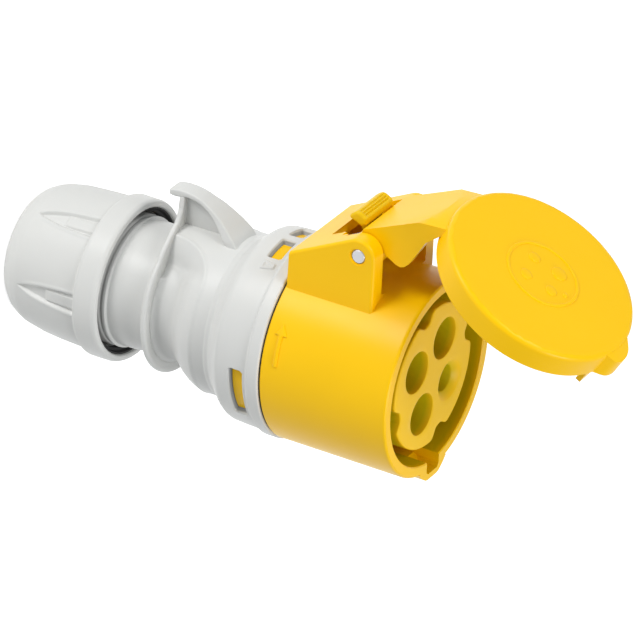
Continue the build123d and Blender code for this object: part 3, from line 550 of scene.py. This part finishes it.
def carrier_quarters():
    """The four quarters: three with a plain hole, and the earth pole's with a shallow cone."""
    made = []
    for number, (pole, sleeve_r, hole_r) in enumerate(POLES):
        plain = [(sleeve_r, CARRIER_LOW_Z), (sleeve_r, 118.8), (hole_r, 118.8), (hole_r, FACE_Z - 0.25),
                 (hole_r + 0.08, FACE_Z - 0.07), (hole_r + 0.25, FACE_Z)]
        cone = [(sleeve_r, CARRIER_LOW_Z), (sleeve_r, 119.4), (3.9, 119.4), (3.9, FACE_Z - EARTH_CONE_DEPTH),
                (4.02, FACE_Z - EARTH_CONE_DEPTH + 0.15), (hole_r - 0.1, FACE_Z - 0.08), (hole_r + 0.1, FACE_Z)]
        profile = cone if number == len(POLES) - 1 else plain
        made.append(carrier_quarter(f"carrier_quarter_{number + 1}", pole, profile))
    return made


# The rear housing

def housing_angles():
    """Even lines round the turn, closer at the windows' ends, at the lock mark and where the channel fades."""
    even = np.degrees(EVEN_TURN)
    near = (np.array(WINDOWS).reshape(-1, 1) + np.linspace(-2.4, 2.4, 17)).ravel()
    mark = LOCK_MARK + np.linspace(-3.8, 3.8, 26)
    fades = np.concatenate((np.arange(100.0, 146.0, 0.75), np.arange(34.0, 80.0, 0.75)))
    lines = np.sort(np.concatenate((even, near % 360.0, mark, fades)))
    return np.radians(lines[np.concatenate(([True], np.diff(lines) > 0.12))])


def channel_radius(depth, end):
    """The finger channel's radius by the distance from the hand stop, as a softened outline.

    Its wall turns steeper and its border crisper over the last 7 mm of the channel's end, and a low
    bead runs along the border."""
    step, reach = 0.05, 30
    at = np.arange(-3.0, 40.0, step)
    outline = np.interp(at, [0.0, 0.41, 1.4, 4.2, 5.4, 6.6, 7.8, 9.5, 11.4, 13.4, 14.7, 15.3],
                        [NECK_R + 1.4, NECK_R + 0.41, NECK_R, NECK_R, NECK_R + 0.2, NECK_R + 0.9, NECK_R + 2.0,
                         BODY_R - 2.3, BODY_R - 1.15, BODY_R - 0.3, BODY_R + 0.1, BODY_R])
    steep = np.interp(at, [0.0, 0.41, 1.4, 5.5, 7.5, 9.0, 11.0, 13.0, 14.6, 15.2, 16.0],
                      [NECK_R + 1.4, NECK_R + 0.41, NECK_R, NECK_R + 0.1, NECK_R + 0.6, NECK_R + 1.4, NECK_R + 2.9,
                       NECK_R + 4.4, BODY_R - 0.15, BODY_R + 0.1, BODY_R])
    forms = []
    for form, soft in ((outline, 0.35), (steep, 0.2)):
        kernel = np.exp(-0.5 * (np.arange(-reach, reach + 1) * step / soft) ** 2)
        eased = np.convolve(np.pad(form, reach, mode="edge"), kernel / kernel.sum(), mode="valid")
        forms.append(np.interp(depth, at, eased))
    share = ramp(end, 0.0, 7.0)
    return forms[0] * (1.0 - share) + forms[1] * share + 0.17 * bell(depth, 15.1, 0.6)


def window_depth(angle, height):
    """How far each point lies inside a window's rounded outline, in millimetres, negative outside."""
    corner = WINDOW_CORNER
    best = np.full(np.broadcast(angle, height).shape, -9.0)
    for low, high in WINDOWS:
        off = (np.degrees(angle) - 0.5 * (low + high) + 180.0) % 360.0 - 180.0
        u = np.abs(np.radians(off)) * FLANGE_R - math.radians(0.5 * (high - low)) * FLANGE_R + corner
        v = np.abs(height - 0.5 * sum(WINDOW_Z)) - 0.5 * (WINDOW_Z[1] - WINDOW_Z[0]) + corner
        out = np.hypot(np.maximum(u, 0.0), np.maximum(v, 0.0)) + np.minimum(np.maximum(u, v), 0.0) - corner
        best = np.maximum(best, -out)
    return best


def rear_housing_body():
    """The grey housing from the gland spigot to the bayonet flange.

    Radius = softened outline; above the hand stop it is the channel's radius at the distance
    sqrt(height^2 + way^2), way being how far round past the channel's end the point lies, so the
    channel fades out in a quarter round. Windows sink the flange to its bore, the outline of a lock
    mark stands on it, and the spigot has a thread's rise."""
    spigot = [(SPIGOT_BORE_R, 12.0), (SPIGOT_R - 0.6, 12.0), (SPIGOT_R, 12.7), (SPIGOT_R, 33.0),
              (SPIGOT_R - 0.25, 33.4), (SPIGOT_R - 0.25, 33.8), (SPIGOT_R, 34.1), (SPIGOT_R, 35.1)]
    neck = [(NECK_R + 0.6, 35.4), (NECK_R + 0.55, 39.0), (NECK_R + 0.2, 43.0), (NECK_R, 46.2), (NECK_R + 0.65, 47.75),
            (NECK_R + 1.4, 48.6), (NECK_R + 1.4, 50.0)]
    flange = [(BODY_R, 66.0), (BODY_R, 69.7), (BODY_R + 0.2, 70.1), (BODY_R + 0.45, 71.4), (FLANGE_R - 3.6, 72.4),
              (FLANGE_R - 2.2, 73.8), (FLANGE_R - 1.1, 75.0), (FLANGE_R - 0.4, 76.1), (FLANGE_R - 0.2, 76.9),
              (FLANGE_R, 80.2), (FLANGE_R + 0.2, 86.0), (FLANGE_R + 0.35, 86.35), (FLANGE_R + 0.7, 86.5),
              (LIP_R - 0.05, 86.9), (LIP_R - 0.05, LIP_Z - 0.3), (LIP_R - 0.35, LIP_Z)]
    inside = [(FLANGE_BORE_R, LIP_Z), (FLANGE_BORE_R, 74.5), (BODY_BORE_R, 74.5), (BODY_BORE_R, 67.0),
              (BODY_BORE_R - 0.7, 64.2), (BODY_BORE_R - 2.3, 61.2), (SPIGOT_BORE_R + 1.4, 58.5), (SPIGOT_BORE_R, 55.5)]
    line = softened_loop(spigot + neck + flange + inside, 0.2, 0.12)
    count = np.arange(len(line))
    end_rows = 15
    outer = (count > end_rows) & (line[:, 0] > NECK_R - 1.0) & (np.cumsum(line[:, 1] > LIP_Z - 0.12) < 2)
    spare = ~outer & (count % 6 > 0) & (line[:, 1] > 20.0) & (line[:, 1] < 86.0)
    spare |= outer & (count % 2 > 0) & (line[:, 1] > 51.0) & (line[:, 1] < 66.0)
    line, outer = line[~spare], outer[~spare, None]
    angle = housing_angles()
    radius, height = line[:, :1] + 0.0 * angle, line[:, 1:] + 0.0 * angle
    off = np.abs((angle - np.pi / 2 + np.pi) % (2 * np.pi) - np.pi)
    past = np.maximum(0.0, math.radians(CHANNEL_END - 90.0) - off) * CHANNEL_SWEEP_R
    away = np.hypot(np.maximum(height - PLATE_Z - PLATE_T, 0.0), past)
    radius = np.where(outer & (height > 49.2) & (height < 69.5), channel_radius(away, past), radius)
    on_flange = outer & (height > 78.0)
    sunk = on_flange * ramp(window_depth(angle, height), -0.1, 0.14)
    radius = radius + (FLANGE_BORE_R + 0.06 - radius) * sunk
    side = np.abs((angle - math.radians(LOCK_MARK)) * FLANGE_R)
    half = np.interp(height, [81.0, 84.8], [1.55, 0.8])
    rim = np.maximum(side - half, np.abs(height - LOCK_MARK_Z) - 1.9)
    radius = radius + on_flange * (0.38 * ramp(-rim, -0.15, 0.15) - 0.2 * ramp(-rim, 0.45, 0.75))
    radius = radius + (outer & (height < 30.0)) * thread_rise(angle, height, SPIGOT_THREAD_Z)
    return surface_piece("rear_housing_body", turned_grid(radius, height, angle))


def hand_stop():
    """The hand stop: a rounded rim carried round the plan, a circle that runs up into the hook's neck.

    Plan radius by the angle from the hook = softened line through the neck's corners."""
    close = np.linspace(76.0, 104.0, 113)
    degree = np.unique(np.round(np.concatenate((np.degrees(EVEN_TURN), close)), 3))
    off = np.abs(degree - 90.0)
    off = np.minimum(off, 360.0 - off)
    plan = np.interp(off, [0.0, 4.9, 6.8, 9.4, 12.05, 20.1, 29.3, 40.0, 46.0, 180.0],
                     [32.4, 32.5, 28.8, 27.0, 25.87, 24.4, 23.3, 22.1, 22.0, 22.0])
    top, low = PLATE_Z + PLATE_T, PLATE_Z
    reach = np.array([-9.0, -2.1, -1.7, -1.3, -0.75, -0.35, -0.1, 0.0, 0.0, -0.1, -0.35, -0.75, -2.0])
    rise = np.array([top - 0.22, top - 0.22, top - 0.15, top, top, top - 0.1, top - 0.32, top - 0.6, low + 0.6,
                     low + 0.32, low + 0.1, low, low])
    inmost = np.full((1, len(plan)), 16.8)
    radius = np.vstack((inmost, np.maximum(plan + reach[1:, None], inmost), inmost))
    height = np.append(rise, rise[-1])[:, None] + 0.0 * plan
    return surface_piece("hand_stop", turned_grid(radius, height, np.radians(degree)))


HOOK_OUTER = [(33.4, 44.6), (33.95, 47.2), (34.1, 48.6), (34.05, 50.6), (33.8, 52.6), (33.2, 54.9), (32.3, 57.0),
              (31.4, 59.0), (30.3, 60.8), (29.0, 62.7), (27.5, 64.5), (24.6, 67.5), (21.5, 69.4)]
HOOK_INNER = [(31.9, 44.6), (31.6, 46.9), (31.75, 48.3), (32.2, 49.9), (32.3, 51.6), (31.95, 53.7), (31.3, 55.7),
              (30.5, 57.4), (29.5, 58.9), (28.0, 60.5), (26.1, 62.1), (23.2, 64.6), (21.0, 66.0)]


def smooth_line(points, count):
    """A line through the points at even steps, its corners eased by averaging twice."""
    line = resampled(points, 0.05)
    for _ in range(2):
        padded = np.vstack((np.repeat(line[:1], 12, axis=0), line, np.repeat(line[-1:], 12, axis=0)))
        sums = np.cumsum(np.vstack((np.zeros((1, 2)), padded)), axis=0)
        line = (sums[25:] - sums[:-25]) / 25.0
    pick = np.linspace(0, len(line) - 1, count).round().astype(int)
    return line[pick]


def bar_rows(outer, inner, half_width, corner, steps, size=1.0):
    """A rounded rectangle at each step of a side-view strip between two lines.

    Point = middle of the strip + across the strip x (half its thickness - corner, with a quarter
    circle of that corner), and x likewise from the half width; size shrinks a step's rectangle."""
    middle, span = 0.5 * (outer + inner), 0.5 * (outer - inner)
    thick = np.linalg.norm(span, axis=1)[:, None]
    facing = span / thick
    side, up, turn = corner_walk(steps)
    corner = np.minimum(corner, 0.8 * thick)
    x = size * (side * (half_width - corner) + corner * np.cos(turn))
    lift = size * (up * (thick - corner) + corner * np.sin(turn))
    return np.stack((x, middle[:, :1] + lift * facing[:, :1], middle[:, 1:] + lift * facing[:, 1:]), axis=-1)


def hanging_hook():
    """The hook's strap: a rounded rectangle carried from its tip to its foot in the housing.

    At each step the section spans the inner and the outer line of the side view, and its half width
    is that of the plan, narrow at the tip and wide at the foot. The first steps round off the tip."""
    count = 90
    outer, inner = smooth_line(HOOK_OUTER, count), smooth_line(HOOK_INNER, count)
    half_width = np.interp(0.5 * (outer[:, :1] + inner[:, :1]), [20.0, 24.2, 26.0, 28.0, 30.6, 32.0, 33.5],
                           [5.6, 5.4, 4.9, 4.25, 3.5, 3.0, 2.85])
    size = np.ones((count, 1))
    size[:3, 0] = (0.0, 0.86, 0.97)
    points = bar_rows(outer, inner, half_width, 0.55, 5, size)
    return surface_piece("hanging_hook", np.concatenate((points, closed_end(points[-1]))), wrap_rows=False)


def hook_web():
    """The thin web under the hook: at each step a rounded bar from the strap in to the housing."""
    count = 40
    edge = smooth_line([(33.0, 49.2), (33.1, 52.0), (31.9, 56.2), (30.0, 59.8), (26.9, 63.2), (23.6, 65.9)], count)
    root = np.stack((np.full(count, 21.0), np.linspace(49.2, 66.2, count)), axis=-1)
    points = bar_rows(edge, root, 1.1, 0.4, 3)
    points = np.concatenate((closed_end(points[0]), points, closed_end(points[-1])))
    return surface_piece("hook_web", points, wrap_rows=False)


# The lock slider

def eased_ends(half_width, ease, steps, lines):
    """Places across X and how far a section is drawn in there: a quarter round at each end, even lines between."""
    turn = np.radians(np.linspace(0.0, 90.0, steps))
    near = -half_width + ease * (1.0 - np.cos(turn))
    drawn = ease * (1.0 - np.sin(turn))
    between = np.linspace(near[-1], -near[-1], lines)[1:-1]
    return np.concatenate((near, between, -near[::-1])), np.concatenate((drawn, 0.0 * between, drawn[::-1]))


def carried_across(name, section, across, inset, cut=0.0):
    """A side-view section carried across X.

    Row x = middle + (section - middle) x (1 - inset / reach) - cut, reach being a point's distance
    from the section's middle, which is also the pole of each end."""
    middle = section.mean(axis=0)
    reach = np.linalg.norm(section - middle, axis=1, keepdims=True)
    inset = inset[:, None, None]
    side = middle + (section - middle) * (1.0 - inset / np.maximum(reach, inset + 0.1)) - cut
    rows = np.concatenate((np.broadcast_to(across[:, None, None], side.shape[:2] + (1,)), side), axis=2)
    ends = [np.tile((x, middle[0], middle[1]), (1, len(section), 1)) for x in across[[0, -1]]]
    return surface_piece(name, np.concatenate((ends[0], rows, ends[1])), wrap_rows=False, crease=SLIDER_CREASE)


def on_roof(distance, lift):
    """A side-view point at a distance up the bracket's roof and a lift off it."""
    c, s = math.cos(ROOF_TILT), math.sin(ROOF_TILT)
    return (ROOF_Y + distance * c + lift * s, ROOF_Z + distance * s - lift * c)


def roof_block(name, outline, half_width, ease):
    """A softened outline of (distance up the roof, lift) points carried across X, with its two ends eased."""
    section = softened_loop([on_roof(*point) for point in outline], 0.12, 0.08)
    return carried_across(name, section, *eased_ends(half_width, ease, 6, 2))


def slider_pad():
    """The thumb pad: a softened side view carried across X, with round ends and three grooves along its flank.

    Groove = depth x the sum of bells about the groove lines x a fade to nothing before the ends."""
    flank_top = np.array((46.85, 107.3))
    flank, away = np.array((-0.52, 0.854)), np.array((0.854, 0.52))
    section = softened_loop([(42.75, 108.1), (44.5, 104.35), (45.0, 104.15), (45.6, 104.6), (46.45, 105.6),
                             (46.88, 106.5), tuple(flank_top), (46.3, 108.4), (45.5, 109.55), (44.9, 109.7),
                             (43.7, 109.65)], 0.09, 0.2)
    facing = ramp((section - section.mean(axis=0)) @ away, 0.55, 0.8)
    along = (section - flank_top) @ flank
    groove = sum(bell(along, place, PAD_GROOVE_WIDTH) for place in PAD_GROOVES) * facing
    across, inset = eased_ends(PAD_HALF_WIDTH, PAD_END_EASE, 8, 45)
    fade = 1.0 - ramp(np.abs(across), PAD_HALF_WIDTH - 1.5, PAD_HALF_WIDTH - 0.9)
    cut = away * (PAD_GROOVE_DEPTH * fade[:, None] * groove)[..., None]
    return carried_across("slider_pad", section, across, inset, cut)


def slider_neck():
    """The neck that joins the pad to the foot through the slot: an outline carried across X."""
    return roof_block("slider_neck", [(-4.9, 1.2), (-2.9, 1.2), (-2.9, -1.3), (-5.0, -3.2), (-5.0, -4.6), (-6.6, -4.6),
                                      (-6.6, -3.2), (-4.9, -1.6)], 4.0, 0.2)


def slider_foot():
    """The wide foot under the roof: an outline carried across X."""
    return roof_block("slider_foot", [(-8.0, -3.15), (-5.0, -3.15), (-5.0, -4.6), (-8.0, -4.6)], 9.6, 0.25)


def slider_seat():
    """The spring's seat on the foot: an outline carried across X."""
    return roof_block("slider_seat", [(-8.0, -4.5), (-5.4, -4.5), (-7.0, -7.0), (-8.0, -7.0)], 2.6, 0.25)


# Seals and springs

def seal_ring():
    """The sealing ring between the housings: a flat rounded section turned once round."""
    half_r = 0.5 * (LIP_R - 0.9 - BARREL_R - 0.05)
    half_z = 0.5 * (SHOULDER_Z - LIP_Z) - 0.02
    middle = (BARREL_R + 0.05 + half_r, 0.5 * (SHOULDER_Z + LIP_Z))
    return surface_piece("seal_ring", turned_points(middle + tube_section(half_r, half_z, 0.15), EVEN_TURN))


def closing_spring():
    """The lid's spring: a coil wound on the hinge pin."""
    return coil_piece("closing_spring", (-4.3, PIN_Y, PIN_Z), (1, 0, 0), (0, 1, 0), 3.12, 0.46, 7.0, 8.0)


def return_spring():
    """The lock's spring: a coil along the roof, about the middle of its solid."""
    length = 3.9
    up_roof = np.array((0.0, math.cos(ROOF_TILT), math.sin(ROOF_TILT)))
    start = np.mean(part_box("slider_spring"), axis=0) / MM - 0.5 * length * up_roof
    return coil_piece("return_spring", start, up_roof, (1, 0, 0), 1.4, 0.3, 5.0, length)


# Reliefs

def opened(points):
    """Points of the closed lid turned about the hinge pin to the open place."""
    turn = math.radians(-LID_OPEN)
    y, z = points[..., 1] - PIN_Y, points[..., 2] - PIN_Z
    return np.stack((points[..., 0], PIN_Y + y * math.cos(turn) - z * math.sin(turn),
                     PIN_Z + y * math.sin(turn) + z * math.cos(turn)), axis=-1)


def relief_ring(name, radius, half_width):
    """A low rounded ridge round the lid's middle: a rounded section turned once round the lid's axis."""
    middle = (radius, LID_FACE_Z + 0.5 * (RELIEF_HEIGHT - RELIEF_ROOT))
    section = middle + tube_section(half_width, 0.5 * (RELIEF_HEIGHT + RELIEF_ROOT), 0.22)
    return surface_piece(name, opened(turned_points(section, np.radians(np.arange(0.0, 360.0, 3.0)))))


def relief_button(name, x, y, radius):
    """A low round button on the lid's face: a profile with an eased edge turned about the button's own axis."""
    top = LID_FACE_Z + RELIEF_HEIGHT
    profile = np.array([(0.0, top), (radius - 0.35, top), (radius - 0.12, top - 0.06), (radius, top - 0.2),
                        (radius, LID_FACE_Z - RELIEF_ROOT), (0.0, LID_FACE_Z - RELIEF_ROOT)])
    points = turned_points(profile, np.radians(np.arange(0.0, 360.0, 10.0)))
    return surface_piece(name, opened(points + np.array((x, y, 0.0))), wrap_rows=False)


def turn_arrow():
    """A raised arrow round the yellow shell: a strip that ends in a point, on a cylinder.

    Point = (shell's radius + lift, start angle - distance / shell's radius, middle height + half
    width x side), the half width growing from the shaft's to the barbs' and then going to nothing."""
    along = np.concatenate(([0.0, 0.12], np.linspace(0.3, 8.6, 24), [8.75, 8.9], np.linspace(9.2, 12.0, 12)))
    half = np.interp(along, [0.0, 0.12, 0.3, 8.75, 8.9, 12.0], [0.0, 0.5, 0.6, 0.6, 1.8, 0.02])
    side, lift = np.array([(-1.0, -0.3), (-1.0, 0.24), (-0.9, 0.36), (0.0, 0.36), (0.9, 0.36), (1.0, 0.24),
                           (1.0, -0.3), (0.0, -0.3)]).T
    height = ARROW_Z + half[:, None] * side
    radius = SHELL_R + lift + 0.0 * height
    angle = math.radians(ARROW_FROM) - along[:, None] / SHELL_R + 0.0 * height
    return surface_piece("turn_arrow", turned_grid(radius, height, angle), wrap_rows=False)


# Pieces that stand for their solids

NUMPY_PIECES = {"gland_nut": (gland_nut,), "rear_housing": (rear_housing_body, hand_stop, hanging_hook, hook_web),
                "housing_seal": (seal_ring,), "lock_slider": (slider_pad, slider_neck, slider_foot, slider_seat),
                "lid_spring": (closing_spring,), "slider_spring": (return_spring,)}

# The lock slider's pieces take the yellow with painted shade
for node, makers in NUMPY_PIECES.items():
    for maker in makers:
        dress(maker(), node, SHADED_SLIDER_YELLOW if node == "lock_slider" else None)
for node in SLOTS:
    if node not in NUMPY_PIECES and node != "contact_carrier":
        dress(smooth_copy(node), node)
for quarter in carrier_quarters():
    dress(quarter, "contact_carrier", CARRIER)

# The nut's dark ring, painted shade for the gap in its mouth, stands for no solid and has a slot of its own
shade_ring = nut_shade_ring()
shade_ring.data.materials.append(RUBBER)
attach(shade_ring, BODY["gland_nut"])

# The lid's plain emblem, which shows the poles, and the arrow on the shell
dress(relief_ring("emblem_ring", EMBLEM_R, 0.45), "lid", stands_for=False)
for number, ((degrees, _, _), size) in enumerate(zip(POLES, (1.7, 1.7, 1.7, 2.3))):
    x, y = EMBLEM_POLE_R * math.cos(math.radians(degrees)), EMBLEM_POLE_R * math.sin(math.radians(degrees))
    dress(relief_button(f"emblem_pole_{number + 1}", x, y, size), "lid", stands_for=False)
dress(relief_button("emblem_key", 0.0, EMBLEM_KEY_Y, 0.8), "lid", stands_for=False)
dress(turn_arrow(), "front_housing", stands_for=False)


# Camera, light and floor

CAMERA_AT = Vector((-1.136943, 0.725356, 0.731168))
CAMERA_UP = Vector((0.398313, 0.874709, -0.276099))
CAMERA_BACK = Vector((-0.763466, 0.482994, 0.428761))
SENSOR = 36.0
FOCAL_SHARE = 5453.2 / 640.0  # focal length over the picture's width
LOOK_AT = Vector((0.0, 0.01, 0.08))
LAMPS = (("key", (-0.43, 0.88, -0.37), 4.7), ("mouth", (-0.3, -0.25, 1.0), 4.2), ("top", (-0.19, 0.67, 0.78), 3.0))
LAMP_SIZE, LAMP_DISTANCE = 0.35, 1.0
FILL, FILL_COLOUR = 0.34, (0.92, 0.97, 1.0)
FLOOR_HALF, FLOOR_GLOW = 1.2, 0.75


def aim(at, back, up):
    """A rotation whose local Z looks back from the subject and whose local Y is nearest to up."""
    back = back.normalized()
    right = up.cross(back).normalized()
    up = back.cross(right)
    turn = Matrix((right, up, back)).transposed().to_4x4()
    return Matrix.Translation(at) @ turn


def make_camera():
    """The camera at the photograph's place, worked out from the object's circles."""
    lens = bpy.data.cameras.new("camera")
    lens.sensor_width = SENSOR
    lens.lens = SENSOR * FOCAL_SHARE
    lens.clip_start = 0.05
    lens.clip_end = 20.0
    camera = bpy.data.objects.new("camera", lens)
    camera.matrix_world = aim(CAMERA_AT, CAMERA_BACK, CAMERA_UP)
    bpy.context.scene.collection.objects.link(camera)
    bpy.context.scene.camera = camera


def soft_box(name, direction, energy):
    """A square lamp that looks at the middle of the object from a direction."""
    lamp = bpy.data.lights.new(name, "AREA")
    lamp.shape = "SQUARE"
    lamp.size = LAMP_SIZE
    lamp.energy = energy
    light = bpy.data.objects.new(name, lamp)
    away = Vector(direction).normalized()
    light.matrix_world = aim(LOOK_AT + away * LAMP_DISTANCE, away, Vector((0.1, 0.2, 1.0)))
    bpy.context.scene.collection.objects.link(light)


def seen_directly(tree):
    """1 for rays of the camera, of mirrors and of glass, 0 for the light that falls on the object."""
    path = tree.nodes.new("ShaderNodeLightPath")
    seen = math_node(tree, "MAXIMUM", path.outputs["Is Camera Ray"], path.outputs["Is Glossy Ray"])
    return math_node(tree, "MAXIMUM", seen, path.outputs["Is Transmission Ray"])


def plain_light(tree, kind, strength, colour=(1.0, 1.0, 1.0)):
    """Even light of a given strength and colour, as an emission or a background node."""
    node = tree.nodes.new(kind)
    node.inputs["Color"].default_value = colour + (1.0,)
    node.inputs["Strength"].default_value = strength
    return node.outputs[0]


def mixed(tree, share, first, second):
    """A mix of two shaders."""
    mix = tree.nodes.new("ShaderNodeMixShader")
    tree.links.new(share, mix.inputs["Fac"])
    tree.links.new(first, mix.inputs[1])
    tree.links.new(second, mix.inputs[2])
    return mix.outputs[0]


def make_world():
    """Even light from all round; seen directly it is white paper."""
    world = bpy.data.worlds.new("studio")
    bpy.context.scene.world = world
    world.use_nodes = True
    tree = world.node_tree
    tree.nodes.clear()
    out = tree.nodes.new("ShaderNodeOutputWorld")
    fill = plain_light(tree, "ShaderNodeBackground", FILL, FILL_COLOUR)
    paper = plain_light(tree, "ShaderNodeBackground", 1.0)
    tree.links.new(mixed(tree, seen_directly(tree), fill, paper), out.inputs["Surface"])


def make_floor():
    """A pale floor the object stands on, lit like white paper. The low lamp shines through it from below."""
    verts = [(x * FLOOR_HALF, y * FLOOR_HALF, 0.0) for x, y in ((-1, -1), (1, -1), (1, 1), (-1, 1))]
    floor = mesh_piece("floor", verts, [(0, 1, 2, 3)])
    material = bpy.data.materials.new("pale floor")
    material.use_nodes = True
    tree = material.node_tree
    shader = next(n for n in tree.nodes if n.type == "BSDF_PRINCIPLED")
    shader.inputs["Base Color"].default_value = (0.8, 0.8, 0.8, 1.0)
    shader.inputs["Roughness"].default_value = 0.9
    shader.inputs["Specular IOR Level"].default_value = 0.0
    out = next(n for n in tree.nodes if n.type == "OUTPUT_MATERIAL")
    lit = tree.nodes.new("ShaderNodeAddShader")
    tree.links.new(shader.outputs[0], lit.inputs[0])
    tree.links.new(plain_light(tree, "ShaderNodeEmission", FLOOR_GLOW), lit.inputs[1])
    tree.links.new(mixed(tree, seen_directly(tree), shader.outputs[0], lit.outputs[0]), out.inputs["Surface"])
    floor.data.materials.append(material)
    floor.visible_shadow = False


make_camera()
make_world()
make_floor()
for lamp in LAMPS:
    soft_box(*lamp)
bpy.context.scene.view_settings.view_transform = "Standard"
